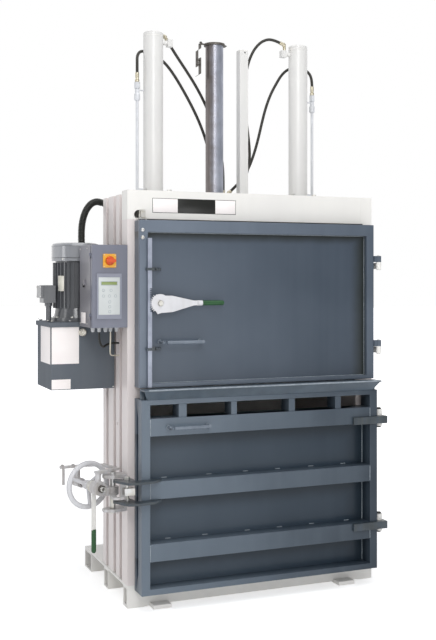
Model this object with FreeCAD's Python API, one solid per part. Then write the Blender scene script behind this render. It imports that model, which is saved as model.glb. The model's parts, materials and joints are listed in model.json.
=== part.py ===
# Upright recycling baler with two doors, a hydraulic power pack on its left side and a screw lock.
# Frame while building: X to the right along the front, Y to the back, Z up. X = 0 is the middle of the body,
# Y = 0 the front of the posts, Z = 0 the floor. Millimetres and degrees. save() moves the origin back to the
# middle runner of the base, so the origin of the part lies on the floor under the middle of the body.

import FreeCAD, Part

import math
import os

os.makedirs("parts", exist_ok=True)

Vector = FreeCAD.Vector

# ---- driving dimensions ------------------------------------------------------------------------------

body_width = 1400.0
body_height = 2090.0
base_depth = 825.0
base_height = 114.0
wall_depth = 100.0               # from the outside of a post to the chamber
chamber_depth = 728.0
plate = 8.0                      # wall of the welded body
top_sheet = 12.0                 # thickness of the top plate and of the base plate
post_depth = 95.0
rib_setback = 6.0                # ribs stand this far inside the full width
rib_starts = (157.0, 267.0, 403.0)
rib_widths = (64.0, 92.0, 60.0)
header_height = 147.0
seat_gap = 0.3                   # gap between pieces that only stand against each other
rest_gap = 3.0                   # gap between a closed door and what it closes on

door_inset = 36.0                # both doors are this much narrower than the body on each side
header_gap = 7.0                 # between the header and the upper door
upper_door_front = 85.0          # how far the upper door stands in front of the posts
upper_door_wall = 6.0
upper_stile = 44.0
upper_top_rail = 60.0
upper_bottom_rail = 20.0
upper_recess = 30.0

lower_door_bottom = 90.0
lower_door_height = 960.0
lower_door_front = 120.0
lower_stile = 45.0
stile_tube = 60.0                # depth of the stile's box section
stile_wall = 8.0
panel_face = 36.0                # how far the lower door's panel stands in front of the posts
panel_sheet = 12.0
rib_height = 88.0
rib_wall = 8.0
lowest_rib = 253.0
lock_level = 560.0               # underside of the middle rib, which carries the lock straps
slot_height = 66.0               # the row of strap slots below the top rail
slot_rail_height = 26.0
slot_rib_lefts = (-470.0, -187.0, 137.0, 410.0)
slot_rib_widths = (43.0, 32.0, 36.0, 34.0)
bottom_rail = 30.0
lip_height = 53.0                # the lip's top over the lower door
lip_reach = 45.0                 # how far the lip's edge stands in front of the lower door
lip_sheet = 8.0
lip_web = 4.0
lip_mitre = 28.0                 # the apron's foot is this much shorter at each end

hinge_inset = 8.0                # from the body's side in to the line of the door hinges
hinge_front = 88.0               # from the posts forward to that line, which both doors share
upper_pin_radius = 8.0
lower_pin_radius = 10.0
upper_knuckle_radius = 14.0
lower_knuckle_radius = 18.5
hinge_fit = 0.06                 # radial clearance on a hinge pin
eye_gap = 0.2                    # height of the gap between a knuckle and its neighbour
lower_eye_height = 40.0

cylinder_x = 438.0
cylinder_y = 378.0
cylinder_radius = 54.0
cylinder_wall = 7.0
cylinder_rise = 891.0            # over the top plate
cylinder_drop = 85.0             # below it
piston_rod_radius = 30.0
piston_height = 50.0
gland_length = 40.0
port_drop = 51.0                 # from the cylinder's head down to its port

column_x = -80.0
column_radius = 49.5
column_wall = 9.0
column_rise = 860.0              # over the top plate
slide_fit = 0.08                 # radial clearance of the column in its guide
collar_height = 12.0
collar_wall = 9.0
guide_tube_x = 89.0
guide_tube_size = 50.0
guide_tube_wall = 4.0
guide_tube_rise = 832.0

platen_drop = 290.0              # from the top of the body down to the platen's face
platen_height = 140.0
platen_sheet = 20.0
platen_clearance = 10.0

pipe_x = 529.0
pipe_radius = 8.0
pipe_rise = 520.0
hose_radius = 8.0
ferrule_radius = 12.5

lever_inset = 103.0              # from the upper door's left edge to the lever's pivot
lever_height = 418.0             # from its lower edge up to the pivot
pitch_radius = 50.0
tooth_angle = 12.0
lever_plate = 8.0
lever_bolt_radius = 9.0
bar_width = 21.0
bar_thickness = 8.0
bar_front = 103.0
bar_head_drop = 90.0             # from the door's top edge down to the bar's upper end
bar_lift = 6.0                   # the raised bar's lower end over the lip
mesh_gap = 0.8

tank_width = 334.7
tank_front = 245.0
tank_depth = 325.0
tank_bottom = 1077.0
tank_height = 331.0
tank_wall = 4.0
cover_sheet = 14.0
cover_overhang = 8.0
motor_radius = 118.0
motor_height = 316.0
fin_height = 13.0
fin_sheet = 4.0
fin_count = 30
cowl_radius = 125.0
cowl_height = 95.0
cowl_sheet = 3.0
shaft_radius = 14.0
shaft_depth = 60.0

cabinet_width = 181.0
cabinet_stand_off = 9.0          # from the ribs to the cabinet
cabinet_front = -12.0
cabinet_depth = 240.0
cabinet_bottom = 1403.0
cabinet_height = 410.0
cabinet_door_depth = 25.0
cabinet_sheet = 3.0

lock_pin_reach = 68.0            # from the post's side out to the lock's pivot pin
lock_pin_y = 28.0
lock_pin_radius = 13.5
lock_fit = 0.08
bracket_sheet = 15.0
spindle_angle = 16.0             # the spindle leans this far to the left of straight back
spindle_lift = 53.0              # the spindle over the underside of the middle rib
spindle_radius = 12.0
wheel_radius = 122.0
wheel_rim = 11.0
wheel_distance = 120.0           # from the front end of the screw block to the wheel

# ---- sizes worked out from them ----------------------------------------------------------------------

half_width = body_width / 2
chamber_half = half_width - wall_depth
rib_face = half_width - rib_setback
header_bottom = body_height - header_height
top_plate_bottom = body_height - top_sheet
door_back = rest_gap
door_half = half_width - door_inset
lower_door_top = lower_door_bottom + lower_door_height
lip_top = lower_door_top + lip_height
upper_door_bottom = lip_top + rest_gap
upper_door_top = header_bottom - header_gap
hinge_x = half_width - hinge_inset
hinge_y = -hinge_front
rib_bottoms = (lowest_rib, lock_level, lower_door_top - slot_rail_height - slot_height - rib_height)
cylinder_top = body_height + cylinder_rise
cylinder_bottom = body_height - cylinder_drop
port_z = cylinder_top - port_drop
column_top = body_height + column_rise
guide_tube_top = body_height + guide_tube_rise
platen_bottom = body_height - platen_drop
pipe_top = body_height + pipe_rise
lever_pivot_x = -door_half + lever_inset
lever_pivot_z = upper_door_bottom + lever_height
bar_top = upper_door_top - bar_head_drop
bar_bottom = lip_top + bar_lift
tank_right = -rib_face - seat_gap
tank_left = tank_right - tank_width
tank_back = tank_front + tank_depth
tank_top = tank_bottom + tank_height
cover_top = tank_top + cover_sheet
motor_x = (tank_left + tank_right) / 2
motor_y = (tank_front + tank_back) / 2
cowl_bottom = cover_top + motor_height
cowl_top = cowl_bottom + cowl_height
cabinet_right = -rib_face - cabinet_stand_off
cabinet_left = cabinet_right - cabinet_width
cabinet_top = cabinet_bottom + cabinet_height
lock_pin_x = -half_width - lock_pin_reach
spindle_z = lock_level + spindle_lift


# ---- plain shapes ------------------------------------------------------------------------------------

def box(x0, x1, y0, y1, z0, z1):
    return Part.makeBox(x1 - x0, y1 - y0, z1 - z0, Vector(x0, y0, z0))


def rod(start, direction, radius, length):
    return Part.makeCylinder(radius, length, Vector(*start), Vector(*direction))


def upright(x, y, z0, z1, radius):
    return rod((x, y, z0), (0, 0, 1), radius, z1 - z0)


def pipe(x, y, z0, z1, outer, inner):
    return upright(x, y, z0, z1, outer).cut(upright(x, y, z0 - 1, z1 + 1, inner))


def prism(points, axis, start, length):
    """A straight block on an outline: (x, y) for axis z, (x, z) for axis y, (y, z) for axis x."""
    places = {
        "z": lambda a, b: Vector(a, b, start),
        "y": lambda a, b: Vector(a, start, b),
        "x": lambda a, b: Vector(start, a, b),
    }[axis]
    ways = {"z": Vector(0, 0, length), "y": Vector(0, length, 0), "x": Vector(length, 0, 0)}
    corners = [places(a, b) for a, b in points]
    return Part.Face(Part.makePolygon(corners + corners[:1])).extrude(ways[axis])


def turned(profile, centre, direction=(0, 0, 1)):
    """A turned piece: profile holds (radius, height) pairs, the axis starts at centre."""
    corners = [Vector(r, 0, h) for r, h in profile]
    solid = Part.Face(Part.makePolygon(corners + corners[:1])).revolve(Vector(), Vector(0, 0, 1), 360)
    turn = FreeCAD.Rotation(Vector(0, 0, 1), Vector(*direction))
    solid.Placement = FreeCAD.Placement(Vector(*centre), turn)
    return solid


def joined(first, *others):
    return first.multiFuse(list(others)).removeSplitter()


def mirrored(shape):
    return shape.mirror(Vector(), Vector(1, 0, 0))


def group(*shapes):
    return Part.makeCompound(list(shapes))


middle_runner = (348.0, 424.0)
origin_y = (middle_runner[0] + middle_runner[1]) / 2


def save(name, shape):
    placed = shape.copy()
    placed.translate(Vector(0, -origin_y, 0))
    placed.exportStep("parts/" + name + ".step")
    print(name, round(shape.Volume / 1000.0, 1), "cm3", len(shape.Solids), "solid(s)", shape.isValid())


# ---- body --------------------------------------------------------------------------------------------

fascia_lift = 7.0                # the front beam clears the floor between its corner feet
corner_foot = 87.0
beam_step = 35.0
front_runner = (0.0, 72.0)
rear_runner = (690.0, base_depth)
foot_bar_width = 96.0
foot_bar_reach = 62.0
foot_bar_height = 20.0
foot_bar_places = (-535.0, 510.0)


def runner(y0, y1, z0=0.0):
    """One box-section beam across the base, open at both ends."""
    outside = box(-half_width, half_width, y0, y1, z0, base_height - top_sheet)
    return outside.cut(box(-half_width - 1, half_width + 1, y0 + plate, y1 - plate, z0 + plate,
                           base_height - top_sheet - plate))


def base_frame():
    deck = box(-half_width, half_width, 0, base_depth, base_height - top_sheet, base_height)
    inner = half_width - corner_foot
    fascia = prism([(-half_width, 0), (-inner, 0), (-inner + beam_step, fascia_lift),
                    (inner - beam_step, fascia_lift), (inner, 0), (half_width, 0),
                    (half_width, base_height), (-half_width, base_height)], "y", 0, plate)
    beams = [runner(front_runner[0] + plate, front_runner[1], fascia_lift),
             runner(*middle_runner),
             runner(*rear_runner)]
    bars = [box(x - foot_bar_width / 2, x + foot_bar_width / 2, -foot_bar_reach, front_runner[1],
                0, foot_bar_height)
            for x in foot_bar_places]
    corners = [box(x, x + corner_foot, 0, front_runner[1], 0, fascia_lift + plate)
               for x in (-half_width, half_width - corner_foot)]
    return joined(deck, fascia, *beams, *bars, *corners)


lift_holes = ((241.0, 163.0), (381.0, 173.0))      # from the front, and below the top plate
lift_hole_radius = 17.0
drain_holes = (440.0, 900.0)
drain_hole_radius = 8.0


def side_wall():
    """The left wall: a corner post, the chamber plate and three upright channel ribs with open backs."""
    post = box(-half_width, -chamber_half, 0, post_depth, base_height, header_bottom)
    post = post.cut(box(-half_width + plate, -chamber_half - plate, plate, post_depth - plate,
                        base_height - 1, header_bottom + 1))
    skin = box(-chamber_half - plate, -chamber_half, post_depth, chamber_depth, base_height, top_plate_bottom)
    ribs = []
    for start, width in zip(rib_starts, rib_widths):
        rib = box(-rib_face, -chamber_half - plate, start, start + width, base_height, top_plate_bottom)
        rib = rib.cut(box(-rib_face + plate, -chamber_half - plate, start + plate, start + width - plate,
                          base_height - 1, top_plate_bottom + 1))
        ribs.append(rib)
    wall = joined(post, skin, *ribs)
    for y, drop in lift_holes:
        wall = wall.cut(rod((-half_width - 1, y, top_plate_bottom - drop), (1, 0, 0), lift_hole_radius,
                            wall_depth - plate))
    for z in drain_holes:
        wall = wall.cut(rod((-rib_face - 1, rib_starts[0] + rib_widths[0] / 2, z), (1, 0, 0),
                            drain_hole_radius, plate + 2))
    return wall


rear_rib_height = 60.0
rear_rib_depth = 60.0
rear_rib_count = 6
rear_rib_inset = 50.0


def rear_wall():
    half = chamber_half + plate
    sheet = box(-half, half, chamber_depth, chamber_depth + plate, base_height, top_plate_bottom)
    ribs = []
    span = top_plate_bottom - base_height - 2 * rear_rib_height
    for i in range(rear_rib_count):
        z = base_height + rear_rib_height / 2 + i * span / (rear_rib_count - 1)
        end, back = half - rear_rib_inset, chamber_depth + rear_rib_depth
        rib = box(-end, end, chamber_depth + plate, back, z, z + rear_rib_height)
        rib = rib.cut(box(-end - 1, end + 1, chamber_depth + plate, back - plate,
                          z + plate, z + rear_rib_height - plate))
        ribs.append(rib)
    return joined(sheet, *ribs)


keeper_x = -half_width + 57.0
keeper_z = header_bottom + 23.0
keeper_hole = 23.0


def header_beam():
    beam = box(-half_width, half_width, 0, post_depth, header_bottom, body_height)
    beam = beam.cut(box(-half_width + plate, half_width - plate, plate, post_depth - plate,
                        header_bottom + plate, body_height - plate))
    return beam.cut(rod((keeper_x + 1.0, -1, keeper_z), (0, 1, 0), keeper_hole, plate + 2))


def door_keeper():
    """The interlock piece on the header: a plate over half of the opening, a catch block and its screws."""
    plate_back = box(keeper_x + 2, keeper_x + 36, -5, 0, keeper_z - 22, keeper_z + 26)
    block = box(keeper_x + 6, keeper_x + 30, -24, -5, keeper_z - 14, keeper_z + 18)
    shelf = box(keeper_x - 2, keeper_x + 36, -30, 0, keeper_z - 22, keeper_z - 17)
    head = rod((keeper_x + 18, -28, keeper_z + 6), (0, 1, 0), 6.5, 4)
    return joined(plate_back, block, shelf, head)


beam_height = 70.0
beam_width = 40.0
boss_wall = 16.0
boss_drop = 50.0
foot_size = 170.0
foot_sheet = 24.0
strip_x = column_x - 84.0
strip_slot = (strip_x - 38.0, strip_x + 14.0)
strip_slot_depth = 52.0


def top_plate():
    """Top sheet with two cross beams below it, bored for the two cylinders and the guide column."""
    half = chamber_half + plate
    sheet = box(-half, half, post_depth, chamber_depth + plate, top_plate_bottom, body_height)
    low = top_plate_bottom - beam_height
    beams = [box(-chamber_half, chamber_half, y, y + beam_width, low, top_plate_bottom)
             for y in (cylinder_y - 70.0 - beam_width, cylinder_y + 70.0)]
    boss = upright(column_x, cylinder_y, top_plate_bottom - boss_drop, body_height + foot_sheet,
                   column_radius + boss_wall)
    whole = joined(sheet, *beams, boss)
    for x in (-cylinder_x, cylinder_x):
        whole = whole.cut(upright(x, cylinder_y, cylinder_bottom, body_height + 1,
                                  cylinder_radius + seat_gap))
    left, right = strip_slot
    whole = whole.cut(box(left, right, cylinder_y - strip_slot_depth / 2, cylinder_y + strip_slot_depth / 2,
                          top_plate_bottom - 1, body_height + 1))
    return whole.cut(upright(column_x, cylinder_y, top_plate_bottom - boss_drop - 1,
                             body_height + foot_sheet + 1, column_radius + slide_fit))


# ---- hydraulics --------------------------------------------------------------------------------------

neck_radius = 12.0
port_block = (30.0, 36.0, 38.0)
port_neck = 25.0                 # from the barrel to the block
gland_fit = 0.06
head_sheet = 20.0
barrel_rim = 5.0


def cylinder(side):
    """One barrel with its foot flange, closed head with a rounded rim, port block and gland bore."""
    x = side * cylinder_x
    bore = cylinder_radius - cylinder_wall
    rod_bore = piston_rod_radius + gland_fit
    profile = [(0, cylinder_top), (cylinder_radius - barrel_rim, cylinder_top),
               (cylinder_radius, cylinder_top - barrel_rim), (cylinder_radius, cylinder_bottom),
               (rod_bore, cylinder_bottom), (rod_bore, cylinder_bottom + gland_length),
               (bore, cylinder_bottom + gland_length), (bore, cylinder_top - head_sheet),
               (0, cylinder_top - head_sheet)]
    barrel = turned(profile, (x, cylinder_y, 0))
    half = foot_size / 2
    flange = box(x - half, x + half, cylinder_y - half, cylinder_y + half,
                 body_height, body_height + foot_sheet)
    flange = flange.cut(upright(x, cylinder_y, body_height - 1, body_height + foot_sheet + 1,
                                cylinder_radius - cylinder_wall / 2))
    inner = -side
    start = x + inner * (cylinder_radius - cylinder_wall / 2)
    neck = rod((start, cylinder_y, port_z), (inner, 0, 0), neck_radius,
               port_neck + cylinder_wall)
    length, depth, height = port_block
    near = x + inner * (cylinder_radius + port_neck)
    far = near + inner * length
    block = box(min(near, far), max(near, far), cylinder_y - depth / 2, cylinder_y + depth / 2,
                port_z - height / 2, port_z + height / 2)
    return joined(barrel, flange, neck, block)


nut_profile = [(0, 0), (13, 0), (16, 6), (16, 34), (12, 42), (12, 62), (9, 66), (0, 66)]
nut_lap = 4.0                    # the nut starts this far below the pipe's end
hexagon_reach = 17.0
hexagon_height = 33.0
pipe_foot = body_height + foot_sheet + 12.0
pipe_fitting_top = pipe_top + nut_profile[-1][1] - nut_lap + hexagon_height


def hexagon(x, y, z, reach, height):
    """An upright six-sided block; reach is the distance from its middle to a corner."""
    turns = [math.radians(60 * i) for i in range(6)]
    return prism([(x + reach * math.cos(a), y + reach * math.sin(a)) for a in turns], "z", z, height)


def return_pipe(side):
    """The thin pipe beside a cylinder: elbow at the foot, union nut, hexagon and stand-off stud."""
    x = side * pipe_x
    riser = upright(x, cylinder_y, pipe_foot, pipe_top, pipe_radius)
    nut = turned(nut_profile, (x, cylinder_y, pipe_top - nut_lap))
    head = hexagon(x, cylinder_y, pipe_fitting_top - hexagon_height, hexagon_reach, hexagon_height)
    reach = pipe_x - cylinder_x - cylinder_radius - seat_gap
    stud = rod((x, cylinder_y, pipe_top + 53), (-side, 0, 0), pipe_radius / 2, reach)
    run = rod((x, cylinder_y, pipe_foot), (-side, 0, 0), pipe_radius, reach)
    knee = Part.makeSphere(pipe_radius, Vector(x, cylinder_y, pipe_foot))
    return joined(riser, nut, head, stud, run, knee)


manifold_x = (-78.0, 152.0)
manifold_y = (468.0, 540.0)
manifold_top = body_height + 24.0


def manifold():
    x0, x1 = manifold_x
    y0, y1 = manifold_y
    return box(x0, x1, y0, y1, body_height, manifold_top)


# Hose routes, from the fitting at the cylinder or pipe down to the manifold behind the column. Heights are
# measured from the top of the body.
route_a = [(-337, 430, 863), (-288, 436, 796), (-222, 444, 714), (-158, 452, 629), (-99, 460, 533),
           (-51, 467, 430), (-13, 473, 320), (11, 479, 214), (19, 486, 120), (20, 490, 60)]
route_b = [(-529, 378, 667), (-529, 378, 714), (-522, 402, 764), (-492, 440, 800), (-440, 470, 808),
           (-384, 484, 792), (-336, 488, 760), (-297, 486, 717), (-252, 484, 653), (-202, 482, 572),
           (-150, 481, 480), (-104, 481, 379), (-70, 482, 273), (-47, 484, 178), (-38, 488, 106),
           (-36, 490, 60)]
route_c = [(324, 382, 904), (276, 390, 925), (223, 404, 910), (184, 419, 867), (159, 429, 813),
           (144, 436, 757), (137, 440, 699), (131, 443, 608), (137, 445, 512), (150, 447, 416),
           (165, 451, 321), (172, 460, 230), (158, 474, 152), (136, 486, 96), (126, 490, 58)]
route_d = [(529, 378, 667), (529, 378, 708), (522, 402, 753), (494, 438, 782), (452, 464, 790),
           (414, 480, 773), (382, 487, 739), (354, 487, 694), (314, 484, 626), (281, 482, 542),
           (257, 481, 455), (235, 484, 360), (211, 489, 274), (182, 496, 195), (146, 505, 132),
           (106, 511, 88), (76, 514, 60)]


def raised(points, level):
    return [(x, y, z + level) for x, y, z in points]


port_hose_left = raised(route_a, body_height)
return_hose_left = raised(route_b, body_height)
port_hose_right = raised(route_c, body_height)
return_hose_right = raised(route_d, body_height)


def unit(a, b):
    way = b - a
    return way * (1.0 / way.Length)


def tube_path(points, label):
    """Straight runs joined by tangent arcs, each as large as its two runs allow."""
    spots = [Vector(*p) for p in points]
    edges, at, radii = [], spots[0], []
    for before, here, after in zip(spots, spots[1:], spots[2:]):
        way_in, way_out = unit(before, here), unit(here, after)
        turn = way_in.getAngle(way_out)
        cut = 0.45 * min((here - before).Length, (after - here).Length)
        radii.append(cut / math.tan(turn / 2))
        first, last = here - way_in * cut, here + way_out * cut
        toward = unit(here, here + way_out - way_in)
        middle = here + toward * (radii[-1] / math.cos(turn / 2) - radii[-1])
        edges.append(Part.LineSegment(at, first).toShape())
        edges.append(Part.Arc(first, middle, last).toShape())
        at = last
    edges.append(Part.LineSegment(at, spots[-1]).toShape())
    length = sum(e.Length for e in edges)
    print(label, "length", round(length), "radii", [round(r) for r in radii])
    return Part.Wire(edges), length


def tube(points, radius, label):
    path, length = tube_path(points, label)
    way = unit(Vector(*points[0]), Vector(*points[1]))
    circle = Part.Wire(Part.Circle(Vector(*points[0]), way, radius).toShape())
    solid = path.makePipeShell([circle], True, False)
    share = solid.Volume / (math.pi * radius ** 2 * length)
    print(label, "volume over section times length", round(share, 4))
    return solid


def ferrule(points, at_end, length, seat=None):
    """A crimped hose fitting, face to face with the hose. With a seat it ends in a knuckle on a stub.

    A coordinate of the seat that is None is the knuckle's own, so the stub runs along the others.
    """
    radius = ferrule_radius
    spots = [Vector(*p) for p in (points[::-1] if at_end else points)]
    way = unit(spots[1], spots[0])
    profile = [(0, 0), (radius - 2, 0), (radius - 2, length * 0.5), (radius - 3.5, length * 0.56),
               (radius - 3.5, length * 0.68), (radius, length * 0.72), (radius, length * 0.92),
               (radius - 3, length), (0, length)]
    body = turned(profile, tuple(spots[0]), tuple(way))
    if seat is None:
        return body
    root = spots[0] + way * length
    stub = Vector(*[own if given is None else given for given, own in zip(seat, root)]) - root
    knuckle = Part.makeSphere(radius - 2.5, root)
    return joined(body, knuckle, Part.makeCylinder(radius - 4, stub.Length, root, stub))


port_seat_angle = 32.0
port_ferrule = 33.0
top_ferrule = 30.0
low_ferrule = 20.0


def port_seat():
    """The spot on the back of the left barrel where the upper hose's elbow ends."""
    away = math.radians(port_seat_angle)
    reach = cylinder_radius + seat_gap
    return -cylinder_x + reach * math.cos(away), cylinder_y + reach * math.sin(away), None


def hydraulic_fittings():
    """The manifold block and every hose fitting."""
    nut_top = port_z + port_block[2] / 2
    hoses = (port_hose_left, return_hose_left, port_hose_right, return_hose_right)
    stubs = [manifold(),
             ferrule(port_hose_left, False, port_ferrule, port_seat()),
             ferrule(return_hose_left, False, return_hose_left[0][2] - pipe_fitting_top),
             ferrule(port_hose_right, False, top_ferrule, (None, None, nut_top)),
             ferrule(return_hose_right, False, return_hose_right[0][2] - pipe_fitting_top)]
    stubs += [ferrule(hose, True, low_ferrule, (None, None, manifold_top)) for hose in hoses]
    return group(*stubs)


# ---- press -------------------------------------------------------------------------------------------

platen_top = platen_bottom + platen_height
web_sheet = 12.0
web_inset = 30.0
rod_flange_radius = piston_rod_radius + 22.0
rod_flange_height = 18.0
piston_seal = 0.3
piston_head_gap = 50.0


def press_platen():
    """Ram plate with a welded grillage of upright webs below a cover sheet."""
    half = chamber_half - platen_clearance
    y0, y1 = platen_clearance, chamber_depth - platen_clearance
    low, high = platen_bottom + platen_sheet, platen_top - platen_sheet
    front, back = y0 + web_inset, y1 - web_inset
    sheet = box(-half, half, y0, y1, platen_bottom, low)
    webs = [box(-half, half, y, y + web_sheet, low, high)
            for y in (front, cylinder_y - 60.0, cylinder_y + 60.0 - web_sheet, back - web_sheet)]
    cross = [box(x - web_sheet / 2, x + web_sheet / 2, front, back, low, high)
             for x in (-half + 40.0, -cylinder_x, column_x, -column_x, cylinder_x, half - 40.0)]
    cap = box(-half + web_inset, half - web_inset, front, back, high, platen_top)
    return joined(sheet, *webs, *cross, cap)


def piston_rod(side):
    bore = cylinder_radius - cylinder_wall - piston_seal
    piston_top = cylinder_top - piston_head_gap
    profile = [(0, platen_top), (rod_flange_radius, platen_top),
               (rod_flange_radius, platen_top + rod_flange_height),
               (piston_rod_radius, platen_top + rod_flange_height),
               (piston_rod_radius, piston_top - piston_height),
               (bore, piston_top - piston_height), (bore, piston_top), (0, piston_top)]
    return turned(profile, (side * cylinder_x, cylinder_y, 0))


def guide_column():
    return pipe(column_x, cylinder_y, platen_top, column_top, column_radius, column_radius - column_wall)


hook_reach = 26.0


def column_collar():
    """Clamp ring round the column's head, with a bolted ear on the right and an open hook on the left."""
    z0, z1 = column_top - collar_height - 1, column_top - 1
    outer = column_radius + collar_wall
    ring = upright(column_x, cylinder_y, z0, z1, outer)
    ear = prism([(column_x + outer - 8, z0), (column_x + outer + 8, z0 + 1), (column_x + outer + 12, z0 + 6),
                 (column_x + outer - 8, z1)], "y", cylinder_y - 14, 28)
    left = column_x - outer
    hook = prism([(left + 6, z1 - 5), (left + 6, z1), (left - 8, z1 + 1), (left - hook_reach + 8, z1 + 12),
                  (left - hook_reach, z1 + 8), (left - 12, z1 - 4)], "y", cylinder_y + 6, 12)
    whole = joined(ring, ear, hook)
    return whole.cut(upright(column_x, cylinder_y, z0 - 10, z1 + 20, column_radius))


strip_sheet = 5.0
strip_depth = 30.0
strip_crank = 17.0               # the cranked strip steps this far to the left
strip_bolt_radius = 4.0
strip_bolt_drops = (97.0, 121.0)
stud_drop = 8.0


def cam_strip():
    """Two cranked flat strips bolted together below the hook, and the stud that hangs them on the collar."""
    y0 = cylinder_y - strip_depth / 2

    def cranked(drops):
        outer = [(x, column_top - drop) for x, drop in drops]
        inner = [(x - strip_sheet, z - (1.5 if i else 0)) for i, (x, z) in enumerate(outer)]
        return prism(outer + inner[::-1], "y", y0, strip_depth)

    x, low = strip_x, strip_x - strip_crank
    upper = cranked([(x, 4), (x, 32), (low, 45), (low, 133)])
    lower = cranked([(x, 84), (x, 171), (x - 22, 186)])
    spacers = [rod((low - strip_sheet - 3, cylinder_y, column_top - drop), (1, 0, 0), strip_bolt_radius,
                   strip_crank + strip_sheet + 6)
               for drop in strip_bolt_drops]
    stud_end = column_x - column_radius - collar_wall - seat_gap
    start = x - strip_sheet - 3
    stud = rod((start, cylinder_y, column_top - stud_drop), (1, 0, 0), 3.0, stud_end - start)
    return joined(upper, lower, stud, *spacers)


def guide_tube():
    x, y, half = guide_tube_x, cylinder_y, guide_tube_size / 2
    inner = half - guide_tube_wall
    whole = box(x - half, x + half, y - half, y + half, body_height, guide_tube_top)
    whole = whole.cut(box(x - inner, x + inner, y - inner, y + inner, body_height + 6, guide_tube_top + 1))
    return whole.cut(rod((x + 6, y - half - 1, guide_tube_top - 9), (0, 1, 0), 4.5, guide_tube_wall + 2))


# ---- upper door --------------------------------------------------------------------------------------

def upper_door():
    """A box frame with a sunk panel, hollow behind it."""
    front, back = -upper_door_front, -door_back
    whole = box(-door_half, door_half, front, back, upper_door_bottom, upper_door_top)
    whole = whole.cut(box(-door_half + upper_stile, door_half - upper_stile, front - 1,
                          front + upper_recess, upper_door_bottom + upper_bottom_rail,
                          upper_door_top - upper_top_rail))
    wall = upper_door_wall
    return whole.cut(box(-door_half + wall, door_half - wall, front + upper_recess + wall, back - wall,
                         upper_door_bottom + wall, upper_door_top - wall))


rack_lap = 6.0                   # how far the bar's right edge reaches past the pitch line
bar_x = lever_pivot_x - pitch_radius - bar_width / 2 + rack_lap
bar_left = bar_x - bar_width / 2
bar_right = bar_x + bar_width / 2
handle_bend = 16.0
handle_radius = 7.0


def bow_handle(x0, x1, y_face, z, stand_off):
    """A round bar handle: two feet, a straight grip and its two rounded knees."""
    bend = handle_bend
    points = [(x0, y_face, z), (x0, y_face - stand_off, z), (x1, y_face - stand_off, z), (x1, y_face, z)]
    a, b, c, d = [Vector(*p) for p in points]
    edges = [Part.LineSegment(a, b + Vector(0, bend, 0)).toShape()]
    k = bend * (1 - math.sqrt(0.5))
    edges.append(Part.Arc(b + Vector(0, bend, 0), b + Vector(k, k, 0), b + Vector(bend, 0, 0)).toShape())
    edges.append(Part.LineSegment(b + Vector(bend, 0, 0), c - Vector(bend, 0, 0)).toShape())
    edges.append(Part.Arc(c - Vector(bend, 0, 0), c + Vector(-k, k, 0), c + Vector(0, bend, 0)).toShape())
    edges.append(Part.LineSegment(c + Vector(0, bend, 0), d).toShape())
    circle = Part.Wire(Part.Circle(a, Vector(0, -1, 0), handle_radius).toShape())
    return Part.Wire(edges).makePipeShell([circle], True, False)


upper_handle_inset = 116.0       # from the door's left edge to the handle's first foot
upper_handle_length = 211.0
upper_handle_lift = 224.0
upper_handle_reach = 70.0
lower_handle_inset = 140.0
lower_handle_length = 206.0
lower_handle_lift = 41.0         # over the underside of the upper rib
lower_handle_reach = 48.0


def upper_door_handle():
    x = -door_half + upper_handle_inset
    return bow_handle(x, x + upper_handle_length, -upper_door_front + upper_recess,
                      upper_door_bottom + upper_handle_lift, upper_handle_reach)


def lower_door_handle():
    x = -door_half + lower_handle_inset
    return bow_handle(x, x + lower_handle_length, -lower_door_front, rib_bottoms[-1] + lower_handle_lift,
                      lower_handle_reach)


guide_levels = (upper_door_top - 250.0, upper_door_bottom + 185.0)
guide_height = 13.0
guide_wall = 6.0
guide_gap = 1.0
guide_foot = 32.0


def bar_guides():
    """Two strap bridges over the locking bar, each screwed to the panel at both ends."""
    panel = -upper_door_front + upper_recess
    face = -bar_front - guide_wall / 2
    left, right = bar_left - guide_gap, bar_right + guide_gap
    pieces = []
    for z in guide_levels:
        top = z + guide_height
        bridge = box(left - guide_wall, right + guide_wall, face - 3, face + 2.5, z, top)
        legs = [box(left - guide_wall, left, face, -upper_door_front, z, top),
                box(right, right + guide_wall, face, panel, z, top)]
        foot = box(right, right + guide_foot, panel - 5, panel, z - 3, top + 3)
        head = rod((right + 20, panel - 9, z + guide_height / 2), (0, 1, 0), 5, 5)
        pieces.append(joined(bridge, *legs, foot, head))
    return group(*pieces)


door_bolt_inset = 17.0
door_bolt_drops = (50.0, 87.0)
door_bolt_profile = [(0, 0), (10, 0), (9, 3), (5, 6), (0, 7)]
lever_head_radius = 12.0
lever_head_height = 6.0
lever_head_gap = 3.5


def upper_door_bolts():
    """Two round bolt heads at the top left corner of the door and the pivot bolt of the lever."""
    x = -door_half + door_bolt_inset
    heads = [turned(door_bolt_profile, (x, -upper_door_front, upper_door_top - drop), (0, -1, 0))
             for drop in door_bolt_drops]
    panel = -upper_door_front + upper_recess
    shank = rod((lever_pivot_x, panel, lever_pivot_z), (0, -1, 0), lever_bolt_radius,
                panel + bar_front + lever_head_gap + 0.5)
    head = rod((lever_pivot_x, -bar_front - lever_head_gap, lever_pivot_z), (0, -1, 0),
               lever_head_radius, lever_head_height)
    return group(*heads, joined(shank, head))


tooth_depth = 9.0
tooth_pitch = pitch_radius * math.radians(tooth_angle)
root_radius = pitch_radius - tooth_depth / 2
tip_radius = pitch_radius + tooth_depth / 2
tooth_count = 9
tooth_root = 2.0                 # how far a tooth's foot is let into what carries it
lever_hub_radius = 16.0
lever_reach = 222.0
tang_length = 44.0
tang_half = 12.0
tang_lap = 22.0                  # how far the tang goes into the grip


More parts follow.
